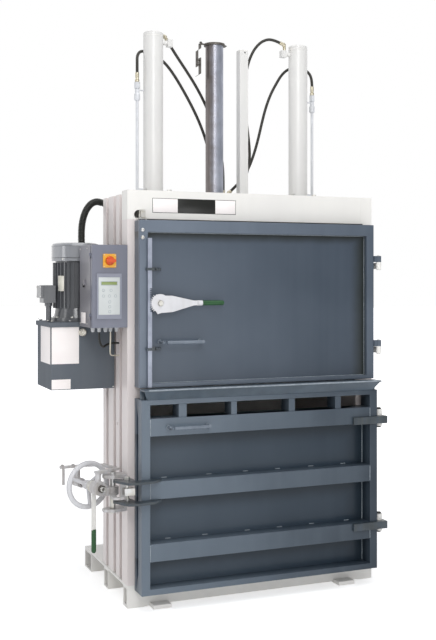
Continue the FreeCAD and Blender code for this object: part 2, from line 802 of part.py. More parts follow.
def sector_tooth(middle_angle):
    """One tooth of the sector as an outline round the pivot, in degrees from straight left."""
    half_root, half_tip = tooth_angle * 0.31, tooth_angle * 0.11
    foot_radius = root_radius - tooth_root
    corners = []
    for radius, angle in ((foot_radius, -half_root), (tip_radius, -half_tip), (tip_radius, half_tip),
                          (foot_radius, half_root)):
        a = math.radians(180 + middle_angle + angle)
        corners.append((lever_pivot_x + radius * math.cos(a), lever_pivot_z + radius * math.sin(a)))
    return prism(corners, "y", -bar_front, lever_plate)


def sector_lever():
    """The white lever plate: a toothed sector on the left, narrowing to a tang for the grip on the right."""
    x, z = lever_pivot_x, lever_pivot_z
    end, half = x + lever_reach, tang_half
    body = prism([(x - 22, z + 44), (x + 4, z + 38), (x + 62, z + 37), (end - tang_length, z + half),
                  (end, z + half), (end, z - half), (end - tang_length, z - half), (x + 64, z - 44),
                  (x + 6, z - 48), (x - 14, z - 54), (x - 24, z - 38)], "y", -bar_front, lever_plate)
    disc = rod((x, -bar_front, z), (0, 1, 0), root_radius, lever_plate)
    teeth = [sector_tooth((i - (tooth_count - 1) / 2) * tooth_angle) for i in range(tooth_count)]
    whole = joined(body, disc, *teeth)
    hub_length = bar_front - upper_door_front + upper_recess - lever_plate - seat_gap
    hub = rod((x, -bar_front + lever_plate, z), (0, 1, 0), lever_hub_radius, hub_length)
    return joined(whole, hub).cut(rod((x, -bar_front - 1, z), (0, 1, 0), lever_bolt_radius + hinge_fit,
                                      lever_plate + hub_length + 2))


grip_length = 139.0
grip_radius = 12.5


def lever_grip():
    start = lever_pivot_x + lever_reach - tang_lap
    grip = turned([(0, 0), (grip_radius - 1, 0), (grip_radius, 4), (grip_radius, grip_length - 5),
                   (grip_radius - 4, grip_length), (0, grip_length)],
                  (start, -bar_front + lever_plate / 2, lever_pivot_z), (1, 0, 0))
    return grip.cut(box(start - 1, start + tang_lap, -bar_front, -bar_front + lever_plate,
                        lever_pivot_z - tang_half, lever_pivot_z + tang_half))


rack_below = 4                   # teeth below the lever's pivot, and above it
rack_above = 7


def lock_bar():
    """Flat bar that slides up and down, with rack teeth that the lever's sector turns."""
    bar = box(bar_left, bar_right, -bar_front, -bar_front + bar_thickness, bar_bottom, bar_top)
    root_x = lever_pivot_x - tip_radius - mesh_gap
    low = lever_pivot_z - (rack_below + 0.1) * tooth_pitch
    high = lever_pivot_z + (rack_above + 0.1) * tooth_pitch
    bar = bar.cut(box(root_x, bar_right + 1, -bar_front - 1, -bar_front + bar_thickness + 1, low, high))
    teeth = []
    tip_x = lever_pivot_x - root_radius - mesh_gap
    for i in range(-rack_below, rack_above):
        z = lever_pivot_z + (i + 0.5) * tooth_pitch
        teeth.append(prism([(root_x - tooth_root, z - tooth_pitch * 0.28), (tip_x, z - tooth_pitch * 0.1),
                            (tip_x, z + tooth_pitch * 0.1), (root_x - tooth_root, z + tooth_pitch * 0.28)],
                           "y", -bar_front, bar_thickness))
    return joined(bar, *teeth)


upper_hinge_levels = (upper_door_top - 200.0, upper_door_bottom + 175.0)
upper_arm_height = 33.0
upper_arm_front = 5.0            # the arm's flat in front of the pin and behind it
upper_arm_back = 11.0
upper_lug_height = 43.0
upper_web_sheet = 14.0
pin_end = 4.0                    # the pin stands this far out of the arm


def upper_hinge_arms():
    """Dark arms on the door's right edge, each with an eye that sits on the pin."""
    arms = []
    for level in upper_hinge_levels:
        z0, z1 = level, level + upper_arm_height
        web = box(door_half, hinge_x, hinge_y - upper_arm_front, hinge_y + upper_arm_back, z0, z1)
        eye = upright(hinge_x, hinge_y, z0, z1, upper_knuckle_radius)
        whole = joined(web, eye)
        arms.append(whole.cut(upright(hinge_x, hinge_y, z0 - 1, z1 + 1, upper_pin_radius + hinge_fit)))
    return group(*arms)


def upper_hinge_lugs():
    """Bright knuckles under the arms, each with its pin and a bracket back to the right-hand post."""
    lugs = []
    for level in upper_hinge_levels:
        z1 = level - eye_gap
        z0 = z1 - upper_lug_height
        knuckle = turned([(0, 0), (upper_knuckle_radius - 4, 0), (upper_knuckle_radius, 6),
                          (upper_knuckle_radius, upper_lug_height), (0, upper_lug_height)],
                         (hinge_x, hinge_y, z0))
        pin = upright(hinge_x, hinge_y, z1, level + upper_arm_height + pin_end, upper_pin_radius)
        web = box(half_width - upper_web_sheet, half_width, hinge_y, 0, z0 + 6, z1 - 4)
        lugs.append(joined(knuckle, pin, web))
    return group(*lugs)


# ---- lower door --------------------------------------------------------------------------------------

gusset_height = 95.0
slot_rib_setback = 4.0
bar_slot_gap = 2.0
lip_back_gap = 5.0               # from the front of the upper door to the back of the lip


def lower_door():
    """Panel with box stiles, three deep ribs, a row of strap slots, rails and corner gussets."""
    front, back = -lower_door_front, -door_back
    half, inner, wall = door_half, door_half - lower_stile, stile_wall
    face = -panel_face
    slot_floor = rib_bottoms[-1] + rib_height
    slot_top = lower_door_top - slot_rail_height
    panel = box(-half, half, face, face + panel_sheet, lower_door_bottom, slot_floor)
    upper = box(-half, half, face, face + panel_sheet, slot_top, lower_door_top)
    edge = [box(-half, -half + wall, face, back, lower_door_bottom, lower_door_top),
            box(half - wall, half, face, back, lower_door_bottom, lower_door_top)]
    stiles = []
    for x0, x1 in ((-half, -inner), (inner, half)):
        stiles.append(box(x0, x1, front, front + stile_tube, lower_door_bottom, lower_door_top))
    webs = [box(-inner - wall, -inner, front + stile_tube, face, lower_door_bottom, lower_door_top),
            box(inner, inner + wall, front + stile_tube, face, lower_door_bottom, lower_door_top)]
    ribs = []
    for z in rib_bottoms:
        rib = box(-inner, inner, front, face, z, z + rib_height)
        ribs.append(rib.cut(box(-inner + rib_wall, inner - rib_wall, front + rib_wall, face,
                                z + rib_wall, z + rib_height - rib_wall)))
    foot = box(-inner, inner, front, face, lower_door_bottom, lower_door_bottom + bottom_rail)
    head = box(-inner, inner, front, face, slot_top, lower_door_top)
    slot_ribs = [box(x, x + w, front + slot_rib_setback, face + panel_sheet, slot_floor, slot_top)
                 for x, w in zip(slot_rib_lefts, slot_rib_widths)]
    ends = [box(-half, -inner, face, face + panel_sheet, slot_floor, slot_top),
            box(inner, half, face, face + panel_sheet, slot_floor, slot_top)]
    gussets = []
    for sign in (-1, 1):
        x0 = -half if sign < 0 else half - wall
        near, far = front + stile_tube, face + panel_sheet / 2
        for z, up in ((lower_door_bottom, 1), (lower_door_top, -1)):
            gussets.append(prism([(near, z), (far, z), (near, z + up * gusset_height)], "x", x0, wall))
    return joined(panel, upper, *edge, *stiles, *webs, *ribs, foot, head, *slot_ribs, *ends, *gussets)


def lower_door_lip():
    """Folded lip: a level ledge and an apron that slants back to the door, cut to a mitre at both ends."""
    edge = -lower_door_front - lip_reach
    back = -upper_door_front - lip_back_gap
    ledge = prism([(-door_half, edge), (door_half, edge), (door_half, back), (-door_half, back)],
                  "z", lip_top - lip_sheet, lip_sheet)
    apron = slanted_apron(edge)
    web_front = back - lip_web
    web = box(-door_half, door_half, web_front, back, lower_door_top, lip_top - lip_sheet)
    foot_half = door_half - lip_mitre
    seat = box(-foot_half, foot_half, -lower_door_front, web_front,
               lower_door_top, lower_door_top + lip_sheet)
    whole = joined(ledge, apron, web, seat)
    gap = bar_slot_gap
    return whole.cut(box(bar_left - gap, bar_right + gap, -bar_front - gap, -bar_front + bar_thickness + gap,
                         lip_top - lip_sheet - 1, lip_top + 1))


def slanted_apron(edge):
    rows = ((door_half, edge, lip_top), (door_half - lip_mitre, -lower_door_front, lower_door_top))
    wires = []
    for half, y, z in rows:
        inner = y + lip_sheet
        corners = [Vector(-half, y, z), Vector(half, y, z), Vector(half, inner, z), Vector(-half, inner, z)]
        wires.append(Part.makePolygon(corners + corners[:1]))
    return Part.makeLoft(wires, True, True)


lower_eye_levels = (lower_door_top - 182.0, lower_door_bottom + 212.0)
strap_proud = 16.0
strap_length = 180.0
strap_edge_gap = 2.0             # between the door's edge and the strap's return


def lower_hinge_straps():
    """Dark strap hinges on the door's front, each rolled to an eye round its pin."""
    straps = []
    y0 = -lower_door_front - strap_proud
    eye_radius = hinge_x - door_half - 1.0
    for z in lower_eye_levels:
        z1 = z + lower_eye_height
        bar = box(hinge_x - strap_length, hinge_x, y0, -lower_door_front, z, z1)
        arm = box(door_half + strap_edge_gap, hinge_x + eye_radius, y0, hinge_y, z, z1)
        eye = upright(hinge_x, hinge_y, z, z1, eye_radius)
        whole = joined(bar, arm, eye)
        straps.append(whole.cut(upright(hinge_x, hinge_y, z - 1, z1 + 1, lower_pin_radius + hinge_fit)))
    return group(*straps)


lug_upper_height = 33.0
lug_lower_height = 18.0
lug_arm_sheet = 18.0
pin_cap_profile = [(0, 0), (13, 0), (13, 5), (10, 8), (0, 8)]


def lower_hinge_lugs():
    """Bright knuckles above and below each eye, on arms from the right-hand post."""
    lugs = []
    for z in lower_eye_levels:
        top, low = z + lower_eye_height + eye_gap, z - eye_gap
        for z0, z1 in ((top, top + lug_upper_height), (low - lug_lower_height, low)):
            knuckle = upright(hinge_x, hinge_y, z0, z1, lower_knuckle_radius)
            arm = box(half_width - lug_arm_sheet, half_width, hinge_y, 0, z0, z1)
            bore = upright(hinge_x, hinge_y, z0 - 1, z1 + 1, lower_pin_radius)
            lugs.append(joined(knuckle, arm).cut(bore))
    return group(*lugs)


def lower_hinge_pins():
    """Black-capped pins through the knuckles."""
    pins = []
    for z in lower_eye_levels:
        low = z - eye_gap - lug_lower_height
        high = z + lower_eye_height + eye_gap + lug_upper_height
        pin = upright(hinge_x, hinge_y, low, high, lower_pin_radius)
        caps = [turned(pin_cap_profile, (hinge_x, hinge_y, high)),
                turned(pin_cap_profile, (hinge_x, hinge_y, low), (0, 0, -1))]
        pins.append(joined(pin, *caps))
    return group(*pins)


# ---- lock on the lower door --------------------------------------------------------------------------

stud_x = -half_width - 26.0
stud_y = -80.0
stud_radius = 9.0
stud_head_radius = 14.0
stud_head_height = 14.0
stud_nut_radius = 13.0
stud_nut_height = 10.0
stud_block_levels = (lock_level + 26.0, lock_level + 60.0)
lock_strap_sheet = 12.0
lock_strap_levels = (lock_level - lock_strap_sheet, lock_level + rib_height + 1.0)


def lock_straps():
    """Two level dark plates welded to the middle rib that reach round the post to the lock."""
    face, side = -lower_door_front, -half_width
    outline = [(side + 138, face), (side + 90, face - 46), (side - 4, face - 58), (side - 48, face - 46),
               (side - 94, face + 52), (side - 86, face + 76), (side - 64, face + 80), (side - 44, face + 58),
               (side - 30, face + 76), (side - 6, face + 76), (side + 6, face + 58), (side + 6, face)]
    plates = []
    for z in lock_strap_levels:
        whole = prism(outline, "z", z, lock_strap_sheet)
        plates.append(whole.cut(upright(stud_x, stud_y, z - 1, z + lock_strap_sheet + 1, stud_radius)))
    return group(*plates)


def strap_bolt():
    """The bolt through both straps, with heads outside and a square block between them."""
    low, high = lock_strap_levels[0], lock_strap_levels[1] + lock_strap_sheet
    reach = stud_head_height
    bolt = upright(stud_x, stud_y, low - reach, high + reach, stud_radius)
    heads = [upright(stud_x, stud_y, low - reach, low, stud_head_radius),
             upright(stud_x, stud_y, high, high + reach, stud_head_radius)]
    block = box(stud_x - 18, stud_x + 34, stud_y - 22, stud_y + 22, *stud_block_levels)
    nuts = [upright(stud_x, stud_y, z, z + stud_nut_height, stud_nut_radius)
            for z in (low + lock_strap_sheet, lock_strap_levels[1] - stud_nut_height)]
    return joined(bolt, *heads, block, *nuts)


bracket_levels = (lock_level - 72.0, lock_level + 95.0)
bracket_front = 5.0
bracket_back = 90.0
bracket_strip = 10.0
pin_foot = 10.0
pin_head = (8.0, 5.0)            # shank over the bracket, then the head's own height


def lock_bracket():
    """Two plates welded to the post's side, bored for the pivot pin, with a back strip between them."""
    side, pin, y = -half_width, lock_pin_x, lock_pin_y
    far = pin - 50.0
    plates = []
    for z in bracket_levels:
        whole = prism([(side, bracket_front), (pin, bracket_front - 17), (far, y - 14), (far, y + 16),
                       (pin, y + 42), (side, bracket_back)], "z", z, bracket_sheet)
        plates.append(whole.cut(upright(pin, y, z - 1, z + bracket_sheet + 1, lock_pin_radius)))
    strip = box(side - bracket_strip, side, bracket_front, bracket_back, bracket_levels[0] + bracket_sheet,
                bracket_levels[1])
    return joined(plates[0], plates[1], strip)


def lock_pin():
    shank, head = pin_head
    low, high = bracket_levels[0] - pin_foot, bracket_levels[1] + bracket_sheet + shank
    return joined(upright(lock_pin_x, lock_pin_y, low, high, lock_pin_radius),
                  upright(lock_pin_x, lock_pin_y, high, high + head, lock_pin_radius + 3))


lean = math.radians(spindle_angle)
back_way = (-math.sin(lean), math.cos(lean), 0.0)
side_way = (-math.cos(lean), -math.sin(lean), 0.0)
spindle_start = (-half_width - 141.0, -15.0)


def along(distance, aside=0.0, z=spindle_z):
    """A point on the lock's slanting axis, measured from the front end of the screw block."""
    return (spindle_start[0] + distance * back_way[0] + aside * side_way[0],
            spindle_start[1] + distance * back_way[1] + aside * side_way[1], z)


claw_low = lock_level + 12.0
claw_height = 40.0
claw_sheet = 12.0
eye_radius = 30.0
stud_distance = math.hypot(stud_x - lock_pin_x, stud_y - lock_pin_y)
hook_gap = 5.0
hook_width = 14.0
hook_inner = stud_distance + stud_radius + hook_gap
hook_outer = hook_inner + hook_width


def plan_plate(corners, z, height):
    """A level plate whose corners are given along and across the spindle."""
    return prism([along(d, a)[:2] for d, a in corners], "z", z, height)


def around_pin(radius, degrees):
    a = math.radians(degrees)
    return lock_pin_x + radius * math.cos(a), lock_pin_y + radius * math.sin(a)


def claw():
    """The hook that closes in front of the strap bolt when the arm swings in."""
    outline = [around_pin(20.0, -30.0), around_pin(40.0, -78.0), around_pin(90.0, -97.0),
               around_pin(hook_inner - 5, -95.0), around_pin(hook_inner, -92.0),
               around_pin(hook_inner, -85.0), around_pin(hook_inner, -80.0),
               around_pin(hook_outer, -80.0), around_pin(hook_outer, -87.0),
               around_pin(hook_outer, -96.0), around_pin(hook_outer - 4, -104.0),
               around_pin(hook_inner - 12, -109.0), around_pin(80.0, -114.0), around_pin(28.0, -150.0)]
    return prism(outline, "z", claw_low, claw_sheet)


block_radius = 36.0
block_length = 52.0
riser_radius = 15.0
drop_radius = 14.0
sleeve_radius = 24.0
sleeve_length = 66.0
yoke_lift = 72.0                 # the yoke plate over the spindle
yoke_sheet = 12.0
yoke_bolts = ((218, -56), (236, 20), (250, 74))
spindle_collars = ((50.3, 30.0, 7.0), (76.0, 27.0, 6.0), (86.0, 24.0, 6.0), (96.0, 21.0, 8.0))


def lock_arm():
    """Swing arm: eye and claw, a screw block before the wheel, a yoke round its rim to a rear bearing."""
    eye = upright(lock_pin_x, lock_pin_y, claw_low, claw_low + claw_height, eye_radius)
    neck = prism([(lock_pin_x, lock_pin_y - 24), (lock_pin_x, lock_pin_y + 24), along(40, -24)[:2],
                  along(4, -24)[:2]], "z", claw_low, claw_height)
    block = rod(along(-2), back_way, block_radius, block_length)
    riser = rod(along(26, 0, spindle_z + 20.0), (0, 0, 1), riser_radius, yoke_lift - 20.0)
    yoke = plan_plate([(12, 16), (10, -52), (40, -136), (188, -136), (232, -62), (262, 84), (238, 92),
                       (206, -48), (176, -112), (52, -112), (38, -46), (38, 16)],
                      spindle_z + yoke_lift, yoke_sheet)
    bolts = [rod(along(d, a, spindle_z + yoke_lift + yoke_sheet), (0, 0, 1), 8.0, 7.0) for d, a in yoke_bolts]
    drop = rod(along(225, 0, spindle_z + 16.0), (0, 0, 1), drop_radius, yoke_lift - 16.0)
    sleeve = rod(along(182), back_way, sleeve_radius, sleeve_length)
    tail = rod(along(238, 74, spindle_z - 10), (0, 0, 1), 7.0, yoke_lift + 10.0)
    whole = joined(eye, neck, block, claw(), riser, yoke, drop, sleeve, tail, *bolts)
    whole = whole.cut(upright(lock_pin_x, lock_pin_y, claw_low - 10, claw_low + claw_height + 10,
                              lock_pin_radius + lock_fit))
    return whole.cut(rod(along(-20), back_way, spindle_radius + lock_fit, 300.0))


def lock_spindle():
    """Spindle through the screw block and the rear sleeve, with the collars that carry the lever."""
    core = rod(along(-14), back_way, spindle_radius, 290.0)
    collars = [rod(along(d), back_way, r, t) for d, r, t in spindle_collars]
    nose = rod(along(-16), back_way, 18.0, 13.0)
    return joined(core, nose, *collars)


hub_radius = 26.0
hub_length = 32.0
spoke_count = 3
first_spoke = 35.0
spoke_radii = (10.0, 7.5)        # at the hub, and at the rim


def handwheel():
    """Cast wheel: a round rim, three tapered spokes and a hub keyed to the spindle."""
    centre = Vector(*along(wheel_distance))
    axis = Vector(*back_way)
    rim = Part.makeTorus(wheel_radius - wheel_rim, wheel_rim, centre, axis)
    hub = rod(along(wheel_distance - hub_length / 2), back_way, hub_radius, hub_length)
    spokes = []
    across = Vector(*side_way)
    for i in range(spoke_count):
        a = math.radians(first_spoke + 360.0 / spoke_count * i)
        way = across * math.cos(a) + Vector(0, 0, 1) * math.sin(a)
        start, end = centre + way * (hub_radius - 6.0), centre + way * (wheel_radius - wheel_rim)
        spokes.append(Part.makeCone(*spoke_radii, (end - start).Length, start, way))
    whole = joined(hub, rim, *spokes)
    return whole.cut(rod(along(wheel_distance - hub_length), back_way, spindle_radius, 2 * hub_length))


lever_station = 64.0
release_bottom = lock_level - 180.0
release_ring_radius = 28.0
release_ring_length = 17.5
release_grip_length = 116.0
release_grip_radius = 12.0
release_lap = 20.0               # how far the blade goes into its grip
blade_near, blade_far = lever_station - 3.0, lever_station + 7.0
blade_half = 11.0
blade_section = ((blade_near, blade_half), (blade_near, -blade_half), (blade_far, -blade_half),
                 (blade_far, blade_half))


def release_lever():
    """Ratchet lever that hangs from the spindle between two collars."""
    ring = rod(along(lever_station - 6.5), back_way, release_ring_radius, release_ring_length)
    blade = plan_plate(blade_section, release_bottom, spindle_z - 20 - release_bottom)
    whole = joined(ring, blade)
    return whole.cut(rod(along(lever_station - 30), back_way, spindle_radius + lock_fit, 80.0))


def release_grip():
    x, y, _ = along(lever_station + 2.0)
    length, radius = release_grip_length, release_grip_radius
    grip = turned([(0, 0), (radius - 5, 0), (radius, 8), (radius, length - 4), (radius - 2, length),
                   (0, length)],
                  (x, y, release_bottom + release_lap - length))
    return grip.cut(plan_plate(blade_section, release_bottom, release_lap + 1))


# ---- power pack --------------------------------------------------------------------------------------

cover_lip = 10.0
cover_bolt_radius = 7.0
cover_bolt_height = 6.0


def oil_tank():
    wall = tank_wall
    whole = box(tank_left, tank_right, tank_front, tank_back, tank_bottom, tank_top)
    return whole.cut(box(tank_left + wall, tank_right - wall, tank_front + wall, tank_back - wall,
                         tank_bottom + wall, tank_top + 1))


def tank_cover():
    over = cover_overhang
    sheet = box(tank_left - over, tank_right, tank_front - over, tank_back + over, tank_top, cover_top)
    lip = box(tank_left - over, tank_right, tank_front - over, tank_back + over,
              tank_top - cover_lip, tank_top)
    lip = lip.cut(box(tank_left - seat_gap, tank_right + 1, tank_front - seat_gap, tank_back + seat_gap,
                      tank_top - cover_lip - 1, tank_top + 1))
    heads = [upright(x, y, cover_top, cover_top + cover_bolt_height, cover_bolt_radius)
             for x in (tank_left + 14, tank_right - 20) for y in (tank_front + 14, tank_back - 14)]
    return joined(sheet, lip, *heads)


filler_x = tank_left + 162.0
filler_z = tank_top - 38.0


def filler_cap():
    profile = [(0, 0), (18, 0), (20, 4), (20, 14), (16, 18), (11, 18), (11, 26), (0, 26)]
    return turned(profile, (filler_x, tank_front - seat_gap, filler_z), (0, -1, 0))


motor_flange_height = 20.0
motor_bell_height = 50.0


def motor():
    """Flanged upright motor: bottom flange, ribbed foot, round body with straight cooling fins."""
    x, y = motor_x, motor_y
    foot = cover_top + motor_flange_height
    core_radius = motor_radius - fin_height
    flange = upright(x, y, cover_top, foot, motor_radius + 8)
    bell = Part.makeCone(motor_radius - 4, core_radius, motor_bell_height, Vector(x, y, foot))
    core = upright(x, y, foot, cowl_bottom - seat_gap, core_radius)
    fins = []
    for i in range(fin_count):
        fin = box(core_radius - 3, motor_radius, -fin_sheet / 2, fin_sheet / 2, foot + motor_bell_height,
                  cowl_bottom - 8)
        fin.rotate(Vector(), Vector(0, 0, 1), 360.0 * i / fin_count)
        fin.translate(Vector(x, y, 0))
        fins.append(fin)
    bore = upright(x, y, cowl_bottom - shaft_depth - 1.0, cowl_bottom, shaft_radius + hinge_fit)
    return joined(core, flange, bell, *fins).cut(bore)


grille_radius = 80.0
grille_pitch = 22.0
grille_slot = 8.0
grille_count = 7
cowl_round = 16.0
fan_gap = 24.0                   # from the fan up to the cowl's top
fan_lift = 22.0                  # from the cowl's lower edge up to the fan
fan_radius = 100.0
fan_hub_radius = 30.0
blade_count = 8
blade_sheet = 4.0


def fan_cowl():
    """Spun cowl over the fan, open below, with a grille of slots in its top."""
    x, y, sheet = motor_x, motor_y, cowl_sheet
    outer, inner, top = cowl_radius, cowl_radius - sheet, cowl_top
    profile = [(0, top), (outer - cowl_round, top), (outer - 5, top - 5), (outer, top - cowl_round),
               (outer, cowl_bottom), (inner, cowl_bottom), (inner, top - cowl_round),
               (inner - 5, top - 6), (outer - cowl_round, top - sheet), (0, top - sheet)]
    shell = turned(profile, (x, y, 0))
    for i in range(grille_count):
        aside = (i - (grille_count - 1) / 2) * grille_pitch
        reach = math.sqrt(grille_radius ** 2 - aside ** 2)
        shell = shell.cut(box(x - reach, x + reach, y + aside - grille_slot / 2, y + aside + grille_slot / 2,
                              top - 10, top + 1))
    ring = pipe(x, y, cowl_bottom, cowl_bottom + 12, inner, motor_radius - fin_height - 1)
    return joined(shell, ring)


def motor_fan():
    x, y = motor_x, motor_y
    z0, z1 = cowl_bottom + fan_lift, cowl_top - fan_gap
    hub = upright(x, y, z0, z1, fan_hub_radius)
    disc = upright(x, y, z0, z0 + blade_sheet, fan_radius)
    blades = []
    for i in range(blade_count):
        blade = box(fan_hub_radius - 10, fan_radius, -blade_sheet / 2, blade_sheet / 2, z0, z1)
        blade.rotate(Vector(), Vector(0, 0, 1), 360.0 / blade_count * i)
        blade.translate(Vector(x, y, 0))
        blades.append(blade)
    shaft = upright(x, y, cowl_bottom - shaft_depth, z1 + 4, shaft_radius)
    return joined(hub, disc, shaft, *blades)


terminal_z = (cover_top + 98.0, cover_top + 190.0)
terminal_depth = 64.0
terminal_lid = 14.0


def terminal_box():
    """Cast box on the motor's left with a raised lid and a stub of cable pipe down to the tank cover."""
    z0, z1 = terminal_z
    x1 = motor_x - motor_radius - seat_gap
    x0 = x1 - terminal_depth
    y0, y1 = motor_y - 55, motor_y + 40
    body = box(x0, x1, y0, y1, z0, z1)
    lid = box(x0 - terminal_lid, x0, y0 - 4, y1 + 4, z0 + 26, z1 - 2)
    stub = upright((x0 + x1) / 2, y0 + 26, cover_top, z0, 15)
    nut = upright((x0 + x1) / 2, y0 + 26, z0 - 16, z0, 20)
    return joined(body, lid, stub, nut)


# ---- control cabinet ---------------------------------------------------------------------------------

cabinet_gap = 4.0                # between the box and its door
hinge_drop = (70.0, 40.0)        # from the top of the cabinet, and from its bottom
cabinet_hinge_radius = 4.0
cabinet_pin_radius = 2.0
knuckle_height = 15.0
leaf_sheet = 5.0
rim_band = 52.0                  # the front of the box is this deep and stands a little proud
rim_proud = 2.0
pad_size = (40.0, 30.0)
latch_drop = 201.0
latch_size = (9.0, 20.0, 28.0)


def cabinet_hinge_spots():
    x = cabinet_left - cabinet_hinge_radius - 0.5
    y = cabinet_front + cabinet_door_depth + cabinet_gap / 2
    return [(x, y, z) for z in (cabinet_bottom + hinge_drop[1], cabinet_top - hinge_drop[0])]


def control_cabinet():
    """Folded steel box on two stand-off pads against the ribs, open in front behind its door."""
    y0, y1 = cabinet_front + cabinet_door_depth + cabinet_gap, cabinet_front + cabinet_depth
    s = cabinet_sheet
    whole = box(cabinet_left, cabinet_right, y0, y1, cabinet_bottom, cabinet_top)
    whole = whole.cut(box(cabinet_left + s, cabinet_right - s, y0 - 1, y1 - s,
                          cabinet_bottom + s, cabinet_top - s))
    band = box(cabinet_left - rim_proud, cabinet_left, y0 + 2, y0 + rim_band, cabinet_bottom, cabinet_top)
    width, height = pad_size
    pad_y = rib_starts[0] + 6
    pads = [box(cabinet_right, -rib_face, pad_y, pad_y + width, z, z + height)
            for z in (cabinet_bottom + 40, cabinet_top - 40 - height)]
    proud, width, height = latch_size
    latch_y, latch_z = y0 + 92, cabinet_top - latch_drop
    latch = box(cabinet_left - proud, cabinet_left, latch_y, latch_y + width, latch_z, latch_z + height)
    hinges = []
    for x, y, z in cabinet_hinge_spots():
        knuckle = upright(x, y, z, z + knuckle_height, cabinet_hinge_radius)
        pin = upright(x, y, z + knuckle_height, z + 2 * knuckle_height, cabinet_pin_radius)
        leaf = box(x, cabinet_left + s, y, y + leaf_sheet, z, z + knuckle_height)
        hinges += [knuckle, pin, leaf]
    return joined(whole, band, *pads, latch, *hinges)


def cabinet_door():
    y0, y1 = cabinet_front, cabinet_front + cabinet_door_depth
    s = cabinet_sheet
    whole = box(cabinet_left, cabinet_right, y0, y1, cabinet_bottom, cabinet_top)
    whole = whole.cut(box(cabinet_left + s, cabinet_right - s, y0 + s, y1 + 1,
                          cabinet_bottom + s, cabinet_top - s))
    hinges = []
    for x, y, z in cabinet_hinge_spots():
        z0, z1 = z + knuckle_height + eye_gap, z + 2 * knuckle_height
        knuckle = upright(x, y, z0, z1, cabinet_hinge_radius)
        leaf = box(x, cabinet_left + s, y - leaf_sheet, y, z0, z1)
        bore = upright(x, y, z0 - 1, z1 + 1, cabinet_pin_radius + hinge_fit)
        hinges.append(joined(knuckle, leaf).cut(bore))
    return joined(whole, *hinges)


switch_x = cabinet_left + 88.0
switch_z = cabinet_top - 79.0
switch_size = 68.0
switch_sheet = 5.0


def switch_plate():
    half = switch_size / 2
    whole = box(switch_x - half, switch_x + half, cabinet_front - switch_sheet, cabinet_front,
                switch_z - half, switch_z + half)
    edges = [e for e in whole.Edges if abs(e.Vertexes[0].Point.y - e.Vertexes[-1].Point.y) > 1]
    return whole.makeFillet(5.0, edges)


def main_switch():
    """Rotary switch: a round collar and a raised grip bar."""
    y = cabinet_front - switch_sheet - seat_gap
    collar = turned([(0, 0), (22, 0), (22, 10), (18, 16), (0, 16)], (switch_x, y, switch_z), (0, -1, 0))
    bar = box(switch_x - 24, switch_x + 24, y - 32, y - 16, switch_z - 8, switch_z + 8)
    ends = [e for e in bar.Edges if abs(e.Vertexes[0].Point.y - e.Vertexes[-1].Point.y) > 1]
    return joined(collar, bar.makeFillet(6.0, ends))


panel_x = (cabinet_left + 22.0, cabinet_right - 32.0)
panel_z = (cabinet_bottom + 44.0, cabinet_top - 142.0)
panel_proud = 6.0
panel_floor = 4.0                # the keypad's level over the door


def display_panel():
    """Raised frame with the membrane keypad let into it."""
    x0, x1 = panel_x
    z0, z1 = panel_z
    frame = box(x0, x1, cabinet_front - panel_proud, cabinet_front, z0, z1)
    return frame.cut(box(x0 + 9, x1 - 9, cabinet_front - panel_proud - 1, cabinet_front - panel_floor,
                         z0 + 20, z1 - 18))


gland_spots = ((26.0, 82.0), (58.0, 82.0), (88.0, 72.0), (120.0, 92.0), (148.0, 82.0))
gland_profile = [(0, 0), (11, 0), (11, 9), (9, 11), (9, 20), (6, 24), (0, 24)]


def cable_glands():
    glands = [turned(gland_profile, (cabinet_left + x, cabinet_front + y, cabinet_bottom), (0, 0, -1))
              for x, y in gland_spots]
    return group(*glands)


conduit_radius = 14.5
conduit_rib = 2.5
conduit_wall = 2.0
power_pitch = 16.0
loop_radius = 5.5
wire_radius = 3.5
# Heights in route_power are measured from the tank's cover, in the others from the cabinet's underside.
route_power = [(-792, 580, 16), (-792, 580, 78), (-785, 586, 164), (-777, 590, 258), (-778, 592, 356),
               (-779, 594, 440), (-773, 600, 516), (-752, 606, 576), (-716, 614, 620), (-668, 620, 634),
               (-628, 620, 634)]
route_loop = [(-826, 70, -24), (-826, 70, -53), (-820.5, 77, -75), (-810, 91, -92), (-797, 108.5, -101),
              (-783, 128, -101), (-769, 146, -95), (-749, 159, -90), (-726, 165, -87), (-rib_face, 165, -87)]
route_wire = [(-764, 80, -24), (-764, 80, -54), (-763, 87, -85), (-760, 100, -113), (-755, 118, -133),
              (-746, 137, -145), (-734, 153, -150), (-716, 163, -150), (-rib_face, 163, -150)]
power_hose = raised(route_power, cover_top)
cabinet_loop = raised(route_loop, cabinet_bottom)
cabinet_wire = raised(route_wire, cabinet_bottom)


